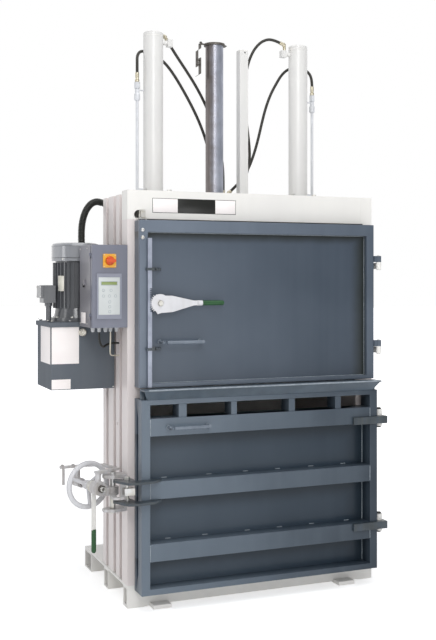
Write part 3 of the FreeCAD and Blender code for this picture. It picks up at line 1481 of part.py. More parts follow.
def ribbed(points, radius, rib, pitch, label):
    """A corrugated hose: a ruled skin through four circles for each rib, plain at both ends, bored."""
    path, length = tube_path(points, label)
    edges = path.Edges
    plain = 2 * radius
    ribs = int((length - 2 * plain) / pitch)
    start = (length - ribs * pitch) / 2
    stations = [(0.0, radius)]
    for i in range(ribs):
        s = start + i * pitch
        stations += [(s, radius), (s + pitch * 0.25, radius + rib), (s + pitch * 0.55, radius + rib),
                     (s + pitch * 0.8, radius)]
    stations.append((length, radius))

    def frame_at(distance):
        for edge in edges:
            if distance <= edge.Length or edge is edges[-1]:
                at = edge.getParameterByLength(min(distance, edge.Length))
                return edge.valueAt(at), edge.tangentAt(at)
            distance -= edge.Length

    steady = Vector(0, 1, 0)

    def ring(distance, r):
        place, way = frame_at(distance)
        across = (steady - way * steady.dot(way)).normalize()
        turn = FreeCAD.Rotation(across, way.cross(across), way, "ZXY")
        circle = Part.Wire(Part.Circle(Vector(), Vector(0, 0, 1), r).toShape())
        circle.Placement = FreeCAD.Placement(place, turn)
        return circle

    skin = Part.makeLoft([ring(s, r) for s, r in stations], True, True)
    bore_radius = radius - conduit_wall
    bore = path.makePipeShell([ring(0.0, bore_radius)], True, False)
    print(label, "ribs", ribs, "volume over section times length",
          round(skin.Volume / (math.pi * radius ** 2 * length), 4))
    return skin.cut(bore)


def conduit_glands():
    """The glands of the power cable hose: one on the tank cover, one on the chamber wall."""
    low, high = power_hose[0], power_hose[-1]
    lift = low[2] - cover_top
    lower = turned([(0, 0), (19, 0), (19, lift / 2), (15, lift * 0.625), (15, lift), (0, lift)],
                   (low[0], low[1], cover_top))
    reach = -chamber_half - plate - high[0]
    upper = turned([(0, 0), (15, 0), (15, reach * 0.45), (19, reach * 0.5), (19, reach), (0, reach)],
                   high, (1, 0, 0))
    return group(lower, upper)


def main():
    save("base_frame", base_frame())
    wall = side_wall()
    save("side_wall_left", wall)
    save("side_wall_right", mirrored(wall))
    save("rear_wall", rear_wall())
    save("header_beam", header_beam())
    save("door_keeper", door_keeper())
    save("top_plate", top_plate())
    save("cylinder_left", cylinder(-1))
    save("cylinder_right", cylinder(1))
    save("return_pipes", group(return_pipe(-1), return_pipe(1)))
    save("hydraulic_fittings", hydraulic_fittings())
    for name, route in (("hose_left_port", port_hose_left), ("hose_left_return", return_hose_left),
                        ("hose_right_port", port_hose_right), ("hose_right_return", return_hose_right)):
        save(name, tube(route, hose_radius, name))
    save("press_platen", press_platen())
    save("piston_rods", group(piston_rod(-1), piston_rod(1)))
    save("guide_column", guide_column())
    save("column_collar", column_collar())
    save("cam_strip", cam_strip())
    save("guide_tube", guide_tube())
    save("upper_door", upper_door())
    save("bar_guides", bar_guides())
    save("upper_door_handle", upper_door_handle())
    save("upper_door_bolts", upper_door_bolts())
    save("sector_lever", sector_lever())
    save("lever_grip", lever_grip())
    save("lock_bar", lock_bar())
    save("upper_hinge_arms", upper_hinge_arms())
    save("upper_hinge_lugs", upper_hinge_lugs())
    save("lower_door", lower_door())
    save("lower_door_lip", lower_door_lip())
    save("lower_door_handle", lower_door_handle())
    save("lower_hinge_straps", lower_hinge_straps())
    save("lower_hinge_lugs", lower_hinge_lugs())
    save("lower_hinge_pins", lower_hinge_pins())
    save("lock_straps", lock_straps())
    save("strap_bolt", strap_bolt())
    save("lock_bracket", lock_bracket())
    save("lock_pin", lock_pin())
    save("lock_arm", lock_arm())
    save("lock_spindle", lock_spindle())
    save("handwheel", handwheel())
    save("release_lever", release_lever())
    save("release_grip", release_grip())
    save("oil_tank", oil_tank())
    save("tank_cover", tank_cover())
    save("filler_cap", filler_cap())
    save("motor", motor())
    save("fan_cowl", fan_cowl())
    save("motor_fan", motor_fan())
    save("terminal_box", terminal_box())
    save("control_cabinet", control_cabinet())
    save("cabinet_door", cabinet_door())
    save("switch_plate", switch_plate())
    save("main_switch", main_switch())
    save("display_panel", display_panel())
    save("cable_glands", group(cable_glands(), conduit_glands()))
    save("power_conduit", ribbed(power_hose, conduit_radius, conduit_rib, power_pitch, "power_conduit"))
    save("cabinet_cables", group(tube(cabinet_loop, loop_radius, "cabinet_loop"),
                                 tube(cabinet_wire, wire_radius, "cabinet_wire")))


main()
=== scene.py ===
# Upright recycling baler in a bright studio: white press body, two blue-grey doors, power pack, screw lock.
import json
import math

import bmesh
import bpy
from mathutils import Matrix, Vector


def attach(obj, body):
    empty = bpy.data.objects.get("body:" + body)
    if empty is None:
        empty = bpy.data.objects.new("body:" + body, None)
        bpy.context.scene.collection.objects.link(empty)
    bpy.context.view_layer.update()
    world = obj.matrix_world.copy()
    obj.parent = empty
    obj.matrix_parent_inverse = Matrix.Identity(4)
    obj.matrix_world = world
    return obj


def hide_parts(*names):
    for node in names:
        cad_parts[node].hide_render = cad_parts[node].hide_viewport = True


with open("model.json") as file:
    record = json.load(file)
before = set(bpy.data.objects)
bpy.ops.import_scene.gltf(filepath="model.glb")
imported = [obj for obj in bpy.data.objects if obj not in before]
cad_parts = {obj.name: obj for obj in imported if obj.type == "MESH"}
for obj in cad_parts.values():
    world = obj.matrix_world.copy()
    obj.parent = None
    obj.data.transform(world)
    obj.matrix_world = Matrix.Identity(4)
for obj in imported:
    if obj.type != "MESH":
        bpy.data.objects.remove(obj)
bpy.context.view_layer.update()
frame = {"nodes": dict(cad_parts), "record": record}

nodes = frame["nodes"]
mm = 0.001
originY = 386.0      # the part's origin lies this far behind the front of the posts
touching = 0.00002   # corners nearer to each other than this, in metres, are merged


def spot(x, y, z):
    # a place in the drawing's millimetres: x from the middle, y from the front of the posts, z from the floor
    return Vector((x, y - originY, z)) * mm


studio = {
    "cameraSpot": (-2184, -4831, 1639),
    "turnRight": 22.2,          # degrees from straight back towards the right
    "lens": 56.84,              # mm for the 36 mm long side of the frame
    "shiftY": -0.0625,          # the horizon lies above the middle of the frame
    "worldLight": 0.54,
    "roomLight": 0.25,          # the dark room behind the camera, as gloss shows it
    "roomEdge": (-0.25, 0.2),   # from dark to white, -1 straight behind the camera and 1 ahead of it
    "floorSize": 60,
    "floorBounce": 0.35,        # share of the floor's glow that lights the object
    "floorNear": 0.5,           # how much white the floor adds beside the object
    "floorReach": (1.2, 5.0),   # metres from there to where the floor is plain white
}
lamps = {   # watts, metres, and the drawing's millimetres
    "strip lamp": {"power": 14.5, "size": (1.0, 2.0), "place": (-4700, -850, 1900), "target": (0, 0, 1200)},
    "key lamp": {"power": 64.0, "size": (1.8, 1.8), "place": (-1750, -4600, 3700), "target": (0, 0, 1200)},
    "low fill lamp": {"power": 40.0, "size": (3.0, 3.0), "place": (300, -5400, 500), "target": (0, 0, 500)},
    "top lamp": {"power": 95.0, "size": (4.0, 4.0), "place": (-300, -1500, 5500), "target": (0, -200, 1000)},
}


def linear(code):
    channels = [int(code[i:i + 2], 16) / 255 for i in (1, 3, 5)]
    return tuple(c / 12.92 if c <= 0.04045 else ((c + 0.055) / 1.055) ** 2.4 for c in channels) + (1.0,)


def addNode(tree, kind, inputs=None, **settings):
    node = tree.nodes.new("ShaderNode" + kind)
    for name, value in settings.items():
        setattr(node, name, value)
    for name, value in (inputs or {}).items():
        if isinstance(value, bpy.types.NodeSocket):
            tree.links.new(value, node.inputs[name])
        else:
            node.inputs[name].default_value = value
    return node


def addObject(name, data):
    holder = bpy.data.objects.new(name, data)
    bpy.context.scene.collection.objects.link(holder)
    return holder


def makeCamera(look):
    camera = addObject("camera", bpy.data.cameras.new("camera"))
    camera.location = spot(*look["cameraSpot"])
    camera.rotation_euler = (math.radians(90), 0, -math.radians(look["turnRight"]))
    camera.data.lens = look["lens"]
    camera.data.shift_y = look["shiftY"]
    camera.data.clip_end = 60
    bpy.context.scene.camera = camera
    bpy.context.scene.view_settings.view_transform = "Standard"


def makeWorld(look):
    # soft grey light, seen as white, with a darker room in the reflections behind the camera
    world = bpy.data.worlds.new("studio air")
    bpy.context.scene.world = world
    world.use_nodes = True
    tree = world.node_tree
    tree.nodes.clear()
    path = addNode(tree, "LightPath")
    seen = addNode(tree, "Math", {0: path.outputs["Is Camera Ray"], 1: path.outputs["Is Transmission Ray"]},
                   operation="MAXIMUM")
    seen = addNode(tree, "Math", {0: seen.outputs[0], 1: path.outputs["Is Glossy Ray"]}, operation="MAXIMUM")
    lit = addNode(tree, "Background", {"Color": linear("#f4f6fa"), "Strength": look["worldLight"]})
    towards = addNode(tree, "SeparateXYZ", {0: addNode(tree, "TexCoord").outputs["Generated"]})
    dark, white = look["roomEdge"]
    room = addNode(tree, "MapRange", {"Value": towards.outputs[1], "From Min": dark, "From Max": white,
                                      "To Min": look["roomLight"], "To Max": 1.0})
    direct = addNode(tree, "Math", {0: path.outputs["Is Glossy Ray"], 1: -1.0, 2: 1.0},
                     operation="MULTIPLY_ADD")
    level = addNode(tree, "Math", {0: room.outputs[0], 1: direct.outputs[0]}, operation="MAXIMUM")
    shown = addNode(tree, "Background", {"Color": (1, 1, 1, 1), "Strength": level.outputs[0]})
    mix = addNode(tree, "MixShader", {0: seen.outputs[0], 1: lit.outputs[0], 2: shown.outputs[0]})
    addNode(tree, "OutputWorld", {"Surface": mix.outputs[0]})


def makeLamp(name, look):
    lamp = bpy.data.lights.new(name, "AREA")
    lamp.energy = look["power"]
    lamp.shape = "RECTANGLE"
    lamp.size, lamp.size_y = look["size"]
    holder = addObject(name, lamp)
    holder.location = spot(*look["place"])
    holder.rotation_euler = (spot(*look["target"]) - spot(*look["place"])).to_track_quat("-Z", "Y").to_euler()


def makeFloor(look):
    form = bmesh.new()
    bmesh.ops.create_grid(form, x_segments=1, y_segments=1, size=look["floorSize"])
    mesh = bpy.data.meshes.new("floor")
    form.to_mesh(mesh)
    form.free()
    # white vinyl sheet: plain where the object's shadow falls, lifted to white further out
    sheet = bpy.data.materials.new("white studio vinyl")
    sheet.use_nodes = True
    tree = sheet.node_tree
    shader = tree.nodes["Principled BSDF"]
    shader.inputs["Base Color"].default_value = linear("#f2f2f2")
    shader.inputs["Roughness"].default_value = 0.85
    shader.inputs["Specular IOR Level"].default_value = 0.1
    path = addNode(tree, "LightPath")
    seen = addNode(tree, "Math", {0: path.outputs["Is Camera Ray"], 1: path.outputs["Is Transmission Ray"]},
                   operation="MAXIMUM")
    seen = addNode(tree, "Math", {0: seen.outputs[0], 1: look["floorBounce"]}, operation="MAXIMUM")
    away = addNode(tree, "VectorMath", {0: addNode(tree, "TexCoord").outputs["Object"]}, operation="LENGTH")
    near, far = look["floorReach"]
    lift = addNode(tree, "MapRange", {"Value": away.outputs["Value"], "From Min": near, "From Max": far,
                                      "To Min": look["floorNear"], "To Max": 1.0})
    strength = addNode(tree, "Math", {0: lift.outputs[0], 1: seen.outputs[0]}, operation="MULTIPLY")
    glow = addNode(tree, "Emission", {"Color": (1, 1, 1, 1), "Strength": strength.outputs[0]})
    both = addNode(tree, "AddShader", {0: shader.outputs[0], 1: glow.outputs[0]})
    tree.links.new(both.outputs[0], tree.nodes["Material Output"].inputs["Surface"])
    mesh.materials.append(sheet)
    addObject("floor", mesh)


makeCamera(studio)
makeWorld(studio)
for name, look in lamps.items():
    makeLamp(name, look)
makeFloor(studio)
print("studio ready")


def newFinish(name):
    material = bpy.data.materials.new(name)
    material.use_nodes = True
    tree = material.node_tree
    place = addNode(tree, "TexCoord").outputs["Object"]
    return material, tree, tree.nodes["Principled BSDF"], place


def addPaintedShade(tree, place, clean, paintedShade):
    # painted shade: a thin darkening over a recessed panel, and a strong one below what stands over it and
    # beside a stile, where shade falls
    parts = addNode(tree, "SeparateXYZ", {0: place})
    ragged = addNode(tree, "TexNoise", {"Vector": place, "Scale": 1000 / paintedShade["raggedMm"], "Detail": 3.0})
    wander = paintedShade["wander"] * mm
    shift = addNode(tree, "MapRange", {"Value": ragged.outputs["Fac"], "To Min": -wander, "To Max": wander})
    total = None
    for channel, start, end in paintedShade["shadeBands"]:
        level = addNode(tree, "Math", {0: parts.outputs[channel], 1: shift.outputs[0]}, operation="ADD")
        rise = addNode(tree, "MapRange", {"Value": level.outputs[0], "From Min": start * mm,
                                          "From Max": end * mm}, interpolation_type="SMOOTHSTEP")
        over = addNode(tree, "Math", {0: parts.outputs[channel], 1: (end + paintedShade["past"]) * mm},
                       operation="LESS_THAN")
        band = addNode(tree, "Math", {0: rise.outputs[0], 1: over.outputs[0]}, operation="MULTIPLY")
        total = band if total is None else addNode(tree, "Math", {0: total.outputs[0], 1: band.outputs[0]},
                                                   operation="MAXIMUM")
    # painted shade over the recessed sheet, strongest at its back
    front, back = paintedShade["depth"]
    recessShade = addNode(tree, "MapRange", {"Value": parts.outputs[1], "From Min": (front - originY) * mm,
                                      "From Max": (back - originY) * mm, "To Max": paintedShade["strength"]})
    # thin: a weaker painted shade over the whole recessed sheet, in the film colour
    thin = addNode(tree, "Math", {0: recessShade.outputs[0], 1: paintedShade["film"]}, operation="MULTIPLY")
    clean = addNode(tree, "Mix", {0: thin.outputs[0], 6: clean, 7: linear(paintedShade["recessShadeColour"])},
                    data_type="RGBA").outputs[2]
    # the bands' painted shade, only on the recessed sheet
    share = addNode(tree, "Math", {0: total.outputs[0], 1: recessShade.outputs[0]}, operation="MULTIPLY")
    return addNode(tree, "Mix", {0: share.outputs[0], 6: clean, 7: linear(paintedShade["colour"])},
                   data_type="RGBA").outputs[2]


def paintedSteel(name, look):
    # sprayed gloss enamel on sheet steel: an even colour, a soft sheen and a fine orange peel
    material, tree, shader, place = newFinish(name)
    cloud = addNode(tree, "TexNoise", {"Vector": place, "Scale": 1000 / look["cloudMm"], "Detail": 3.0})
    share = addNode(tree, "MapRange", {"Value": cloud.outputs["Fac"], "From Min": 0.35,
                                       "From Max": 0.68}).outputs[0]
    if look["paintedLightShare"]:
        # painted light: lighter towards the left and darker towards the right, as the light falls across the
        # doors
        across = addNode(tree, "SeparateXYZ", {0: place})
        paintedLight = addNode(tree, "MapRange", {"Value": across.outputs[0], "From Min": -look["paintedLightMm"] * mm,
                                          "From Max": look["paintedLightMm"] * mm, "To Max": look["paintedLightShare"]})
        share = addNode(tree, "Mix", {0: look["paintedLightShare"], 2: share, 3: paintedLight.outputs[0]}).outputs[0]
    base = addNode(tree, "Mix", {0: share, 6: linear(look["colour"]), 7: linear(look["shade"])},
                   data_type="RGBA")
    stretched = addNode(tree, "Mapping", {"Vector": place, "Scale": (1.0, 1.0, 0.035)})
    streak = addNode(tree, "TexNoise", {"Vector": stretched.outputs[0], "Scale": 1000 / look["streakMm"],
                                        "Detail": 2.0})
    streakShare = addNode(tree, "MapRange", {"Value": streak.outputs["Fac"], "From Min": 0.4,
                                             "From Max": 0.75, "To Min": 0.0, "To Max": look["streak"]})
    worn = addNode(tree, "Mix", {0: streakShare.outputs[0], 6: base.outputs[2], 7: linear(look["dust"])},
                   data_type="RGBA")
    # painted shade in the recesses, where the look asks for it
    surface = addPaintedShade(tree, place, worn.outputs[2], look["paintedShade"]) if look["paintedShade"] else worn.outputs[2]
    tree.links.new(surface, shader.inputs["Base Color"])
    gloss = addNode(tree, "MapRange", {"Value": cloud.outputs["Fac"], "To Min": look["rough"] - 0.06,
                                       "To Max": look["rough"] + 0.1})
    tree.links.new(gloss.outputs[0], shader.inputs["Roughness"])
    peel = addNode(tree, "TexNoise", {"Vector": place, "Scale": 1000 / look["peelMm"], "Detail": 1.0})
    bump = addNode(tree, "Bump", {"Height": peel.outputs["Fac"], "Strength": look["peel"],
                                  "Distance": 0.0006})
    tree.links.new(bump.outputs[0], shader.inputs["Normal"])
    shader.inputs["IOR"].default_value = 1.5
    shader.inputs["Specular IOR Level"].default_value = look["sheen"]
    shader.inputs["Coat Weight"].default_value = look["coat"]
    shader.inputs["Coat Roughness"].default_value = 0.12
    return material


def bareSteel(name, look):
    # metal with a grain along one way: brushed, drawn or plated, a little uneven in tone
    material, tree, shader, place = newFinish(name)
    stretched = addNode(tree, "Mapping", {"Vector": place, "Scale": look["grain"]})
    grain = addNode(tree, "TexNoise", {"Vector": stretched.outputs[0], "Scale": 1000 / look["grainMm"],
                                       "Detail": 3.0})
    cloud = addNode(tree, "TexNoise", {"Vector": place, "Scale": 1000 / look["cloudMm"], "Detail": 3.0})
    share = addNode(tree, "MapRange", {"Value": cloud.outputs["Fac"], "From Min": 0.38, "From Max": 0.66})
    base = addNode(tree, "Mix", {0: share.outputs[0], 6: linear(look["colour"]), 7: linear(look["shade"])},
                   data_type="RGBA")
    tree.links.new(base.outputs[2], shader.inputs["Base Color"])
    rough = addNode(tree, "MapRange", {"Value": grain.outputs["Fac"], "To Min": look["rough"] - 0.1,
                                       "To Max": look["rough"] + 0.12})
    tree.links.new(rough.outputs[0], shader.inputs["Roughness"])
    bump = addNode(tree, "Bump", {"Height": grain.outputs["Fac"], "Strength": look["bump"],
                                  "Distance": 0.0003})
    tree.links.new(bump.outputs[0], shader.inputs["Normal"])
    shader.inputs["Metallic"].default_value = look["metallic"]
    return material


def stainedColumnSteel(name, look, stain):
    # drawn steel tube, oiled: a brown film of old oil covers its left half
    material = bareSteel(name, look)
    tree = material.node_tree
    shader = tree.nodes["Principled BSDF"]
    clean = shader.inputs["Base Color"].links[0].from_socket
    place = addNode(tree, "TexCoord").outputs["Object"]
    centred = addNode(tree, "Mapping", {"Vector": place, "Location": -spot(*stain["axis"], 0)})
    parts = addNode(tree, "SeparateXYZ", {0: centred.outputs[0]})
    ragged = addNode(tree, "TexNoise", {"Vector": place, "Scale": 1000 / stain["raggedMm"], "Detail": 4.0})
    wander = stain["wander"] * mm
    edge = addNode(tree, "MapRange", {"Value": ragged.outputs["Fac"], "To Min": -wander, "To Max": wander})
    side = addNode(tree, "Math", {0: parts.outputs[0], 1: edge.outputs[0]}, operation="ADD")
    full, none = stain["reach"]
    film = addNode(tree, "MapRange", {"Value": side.outputs[0], "From Min": none * mm, "From Max": full * mm,
                                      "To Min": 0.0, "To Max": stain["strength"]})
    mixed = addNode(tree, "Mix", {0: film.outputs[0], 6: clean, 7: linear(stain["oil"])}, data_type="RGBA")
    tree.links.new(mixed.outputs[2], shader.inputs["Base Color"])
    return material


def mouldedPlastic(name, look):
    # injection moulded or dipped: an even colour with a fine grain
    material, tree, shader, place = newFinish(name)
    cloud = addNode(tree, "TexNoise", {"Vector": place, "Scale": 1000 / look["cloudMm"], "Detail": 2.0})
    base = addNode(tree, "Mix", {0: cloud.outputs["Fac"], 6: linear(look["colour"]),
                                 7: linear(look["shade"])}, data_type="RGBA")
    tree.links.new(base.outputs[2], shader.inputs["Base Color"])
    grain = addNode(tree, "TexNoise", {"Vector": place, "Scale": 1000 / look["grainMm"], "Detail": 1.0})
    bump = addNode(tree, "Bump", {"Height": grain.outputs["Fac"], "Strength": look["bump"],
                                  "Distance": 0.0003})
    tree.links.new(bump.outputs[0], shader.inputs["Normal"])
    shader.inputs["Roughness"].default_value = look["rough"]
    shader.inputs["IOR"].default_value = 1.5
    return material


def printedFoil(name, look):
    # laminated vinyl film: an even printed colour under a smooth, slightly yellowed clear layer
    material, tree, shader, place = newFinish(name)
    cloud = addNode(tree, "TexNoise", {"Vector": place, "Scale": 1000 / look["cloudMm"], "Detail": 2.0})
    base = addNode(tree, "Mix", {0: cloud.outputs["Fac"], 6: linear(look["colour"]),
                                 7: linear(look["shade"])}, data_type="RGBA")
    tree.links.new(base.outputs[2], shader.inputs["Base Color"])
    wave = addNode(tree, "Bump", {"Height": cloud.outputs["Fac"], "Strength": 0.06, "Distance": 0.001})
    tree.links.new(wave.outputs[0], shader.inputs["Normal"])
    shader.inputs["Roughness"].default_value = look["rough"]
    shader.inputs["IOR"].default_value = 1.48
    return material


def paint(colour, shade, dust, rough=0.3, coat=0.25, streak=0.25, cloudMm=420, streakMm=55, peel=0.25,
          peelMm=5, paintedShade=None, paintedLightShare=0.0, paintedLightMm=660, sheen=0.5):
    return {"colour": colour, "shade": shade, "dust": dust, "rough": rough, "coat": coat, "streak": streak,
            "cloudMm": cloudMm, "streakMm": streakMm, "peel": peel, "peelMm": peelMm, "paintedShade": paintedShade,
            "paintedLightShare": paintedLightShare, "paintedLightMm": paintedLightMm, "sheen": sheen}


def metal(colour, shade, grain=(1, 1, 0.2), grainMm=3, cloudMm=40, rough=0.34, bump=0.2, metallic=0.85):
    return {"colour": colour, "shade": shade, "grain": grain, "grainMm": grainMm, "cloudMm": cloudMm,
            "rough": rough, "bump": bump, "metallic": metallic}


def plastic(colour, shade, cloudMm=40, grainMm=2, bump=0.2, rough=0.42):
    return {"colour": colour, "shade": shade, "cloudMm": cloudMm, "grainMm": grainMm, "bump": bump,
            "rough": rough}


# painted shade in the recessed door panels, in mm from the drawing's zero: film darkens the whole recessed
# sheet a little, and each band runs from unshaded to dark along an axis, 0 to the right or 2 upwards
upperPaintedShade = {"colour": "#23261f", "strength": 0.85, "film": 0.54, "recessShadeColour": "#222f3d", "raggedMm": 60,
              "wander": 8, "past": 2, "depth": (-72, -58), "shadeBands": [(0, 520, 622), (2, 1820, 1878)]}
lowerPaintedShade = {"colour": "#1d2831", "strength": 0.8, "film": 0.75, "recessShadeColour": "#172b3b", "raggedMm": 60,
              "wander": 8, "past": 2, "depth": (-90, -45),
              "shadeBands": [(0, 490, 621), (2, 170, 255), (2, 450, 562), (2, 760, 872)]}
columnStain = {"axis": (-80, 378), "raggedMm": 45, "wander": 16, "reach": (-42, 8), "strength": 0.8,
               "oil": "#6a5c50"}

finishes = {
    # sprayed enamel: even, softly glossy, a trace of dust in long runs
    "body_white": paintedSteel("white body enamel", paint("#eceae5", "#e7e5e1", "#e1dfda")),
    # the same white enamel painted darker and warmer for the side walls: painted shade
    "side_grey": paintedSteel("shaded white side enamel", paint("#e6dedb", "#e0d7d5", "#d6cdc9")),
    # door enamel, dull, painted lighter to the left and darker to the right as the light falls, with painted
    # shade where the sheet is recessed
    "door_blue": paintedSteel("blue-grey door enamel",
                              paint("#717b88", "#35404c", "#737d89", coat=0.12, streak=0.14, cloudMm=500,
                                    paintedShade=upperPaintedShade, paintedLightShare=0.75, sheen=0.3)),
    "door_dark": paintedSteel("dark blue-grey door enamel",
                              paint("#6a7682", "#1f2a35", "#6b7680", coat=0.12, streak=0.12, cloudMm=380,
                                    paintedShade=lowerPaintedShade, paintedLightShare=0.85, sheen=0.3)),
    # matt primer-like enamel on the tank, thick gloss on the motor's cast housing
    "tank_grey": paintedSteel("dark grey tank enamel",
                              paint("#686e75", "#60666d", "#73777b", rough=0.62, coat=0.0, sheen=0.1)),
    "motor_grey": paintedSteel("grey motor enamel",
                               paint("#595b5f", "#4d4f53", "#77777a", rough=0.26, coat=0.8, peel=0.3)),
    # baked powder coat: a close texture that breaks up the shine
    "cabinet_grey": paintedSteel("textured grey powder coat",
                                 paint("#717482", "#686b78", "#828490", rough=0.36, peel=0.6, peelMm=3)),
    # hand-painted fittings: smaller clouds and more rubbed streaks
    "lever_white": paintedSteel("white lever enamel",
                                paint("#d6d6d9", "#cdcdd0", "#bdbbb8", cloudMm=90, streakMm=20)),
    "lock_silver": paintedSteel("silver lock enamel",
                                paint("#c9c8ca", "#b4b0ad", "#8e867d", cloudMm=45, streakMm=16, streak=0.5)),
    # zinc plate: pale, half bright, slightly spangled
    "bright_steel": bareSteel("zinc plated steel", metal("#dcdcdb", "#cdcac0")),
    "column_steel": stainedColumnSteel("oiled drawn steel",
                                       metal("#c8cddb", "#a6abb9", (1, 1, 0.03), 5, 130, 0.38, 0.3),
                                       columnStain),
    # ground chrome: almost a mirror
    "rod_chrome": bareSteel("hard chrome", metal("#dcdde0", "#cfd0d4", (1, 1, 1), 4, 200, 0.16, 0.05, 1.0)),
    # turned alloy: fine rings that catch the light
    "cap_metal": bareSteel("turned light alloy",
                           metal("#cfccc4", "#b2aca0", (1, 0.1, 1), 2, 12, 0.32, 0.3, 0.9)),
    # dipped vinyl: soft, a little shiny
    "grip_green": mouldedPlastic("dipped green vinyl", plastic("#245a2e", "#1b4523", 30, rough=0.38)),
    # rubber cover with the weave of its wrapping, dull
    "hose_rubber": mouldedPlastic("black hose rubber", plastic("#2f2d27", "#26241f", 40, 1.5, 0.5, 0.5)),
    # moulded nylon and switch plastics: even, with a close grain and a half gloss
    "conduit_plastic": mouldedPlastic("black corrugated nylon", plastic("#2b2c28", "#222320", 60, 3)),
    "gland_plastic": mouldedPlastic("grey nylon", plastic("#c6c8ca", "#b3b6b9", 20, rough=0.45)),
    "switch_yellow": mouldedPlastic("yellow switch plastic",
                                    plastic("#e9ae35", "#dfa02a", 40, 1.5, 0.15, 0.32)),
    "switch_red": mouldedPlastic("red switch plastic", plastic("#de5a1c", "#c84512", 20, 1.5, 0.1, 0.3)),
    "panel_foil": mouldedPlastic("grey panel frame", plastic("#8d909c", "#848794", 60)),
    "fan_plastic": mouldedPlastic("black fan plastic", plastic("#232323", "#1b1b1b", 50, rough=0.5)),
}

# parts that stand out from the finish of their neighbours, some only painted lighter or darker for light and
# shade
cowlPaint = paintedSteel("glossy motor cowl enamel",   # thick and wet-looking, mirrors the strip lamp
                         paint("#8f9196", "#85878b", "#a0a1a4", rough=0.16, coat=1.0, peel=0.2, sheen=0.8))
litBoxPaint = paintedSteel("cabinet box powder coat",     # the same powder coat painted lighter and warmer on the box than on its door: painted light on its side
                        paint("#83828a", "#7b797d", "#939196", rough=0.34, peel=0.6, peelMm=3))
handlePaint = paintedSteel("pale blue-grey handle enamel",   # polished by hands
                           paint("#707a86", "#616b77", "#828b95", rough=0.22, cloudMm=60, streakMm=20))
strapPaint = paintedSteel("grimed strap enamel",       # dark with grease, rubbed in short streaks
                          paint("#3b4650", "#2c353c", "#4a4d46", rough=0.34, cloudMm=60, streakMm=16,
                                streak=0.5))
litLedgePaint = paintedSteel("lit ledge enamel",         # the lower door's enamel painted lighter on the lip: painted light, as its top catches the light
                          paint("#4c5a66", "#434f5a", "#5c6670", rough=0.32, cloudMm=80, streakMm=30))
wheelPaint = paintedSteel("pale grey wheel enamel",    # smooth over a casting
                          paint("#d8d8db", "#cdcdd0", "#bfbdbb", rough=0.26, cloudMm=80, streakMm=18))
# the white body enamel painted greyer on the cylinders and guide tube: painted shade on the round tubes
shadedCylinderPaint = paintedSteel("shaded white cylinder enamel", paint("#dcdbd8", "#d5d4d2", "#cecdcb"))
pipePaint = paintedSteel("pipe enamel", paint("#d2d4d8", "#cacccf", "#c2c2c2", cloudMm=60, streakMm=20))
beadHighlightPaint = paintedSteel("painted weld",                # enamel over the scales of a weld, dull and lumpy, painted paler than the door: a painted highlight on the lumps
                        paint("#7d8790", "#98a1a8", "#a9b0b5", rough=0.42, streak=0.2, cloudMm=14, peel=0.5,
                              peelMm=3))
brassPlate = bareSteel("yellow passivated steel",      # zinc with a yellow cast
                       metal("#dad3c0", "#c4bba0", cloudMm=18, metallic=0.8))
collarSteel = bareSteel("dull oiled steel",            # brown-grey, hardly any shine
                        metal("#6f6b66", "#55514c", grainMm=4, cloudMm=30, rough=0.48, bump=0.3,
                              metallic=0.55))
barSteel = bareSteel("galvanised flat bar",            # rolled along its length, pale blue-grey
                     metal("#a4aab8", "#8d93a2", (1, 1, 0.1), 4, 60, 0.4, metallic=0.5))
cableJacket = mouldedPlastic("ivory cable jacket", plastic("#d8d2c2", "#c9c2b0", 30, bump=0.1, rough=0.45))
foils = {   # printed film: flat colour under a clear layer; the display is glossier, like glass
    "white": printedFoil("white vinyl film", plastic("#fdf8f6", "#f8f0ed", 60, rough=0.35)),
    "black": printedFoil("black vinyl film", plastic("#1d1e1c", "#232421", 60, rough=0.3)),
    "keypad": printedFoil("pale grey membrane film", plastic("#cdd1d0", "#c3c7c6", 50, rough=0.4)),
    "keys": printedFoil("grey key print", plastic("#aeb5b8", "#a0a7ab", 10, rough=0.4)),
    "display": printedFoil("green display glass", plastic("#8c9b63", "#7f8e58", 30, rough=0.12)),
    "metal": bareSteel("etched aluminium plate",
                       metal("#dedcd2", "#cfccc0", (1, 1, 0.1), 2, 30, 0.36, 0.1, 0.6)),
}
ownFinish = {
    "lock_bar": barSteel, "lower_hinge_pins": finishes["fan_plastic"], "fan_cowl": cowlPaint,
    "control_cabinet": litBoxPaint, "upper_door_handle": handlePaint, "lower_door_handle": handlePaint,
    "lock_straps": strapPaint, "lower_hinge_straps": strapPaint, "lower_door_lip": litLedgePaint,
    "bar_guides": strapPaint, "cylinder_left": shadedCylinderPaint, "cylinder_right": shadedCylinderPaint,
    "guide_tube": shadedCylinderPaint, "return_pipes": pipePaint, "hydraulic_fittings": brassPlate,
    "column_collar": collarSteel, "cam_strip": collarSteel, "lock_spindle": collarSteel,
    "release_lever": finishes["body_white"], "upper_hinge_lugs": finishes["body_white"],
    "lower_hinge_lugs": finishes["body_white"],
}
slotOf = {entry["node"]: entry["material_slot"] for entry in frame["record"]["subparts"]}
for name, node in nodes.items():
    for holder in node.material_slots:
        holder.material = ownFinish.get(name, finishes[slotOf[name]])
print("finishes ready")


def makePiece(name, form, body, slotName, replaced=(), material=None, smoothTo=35):
    mesh = bpy.data.meshes.new(name)
    form.to_mesh(mesh)
    form.free()
    piece = addObject(name, mesh)
    mesh.materials.append(material or finishes[slotName])
    mesh.shade_smooth()
    mesh.set_sharp_from_angle(angle=math.radians(smoothTo))
    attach(piece, body)
    if replaced:
        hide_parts(*replaced)
    return piece


def bodyOf(nodeName):
    for body, members in frame["record"]["behaviour"]["bodies"].items():
        if nodeName in members:
            return body


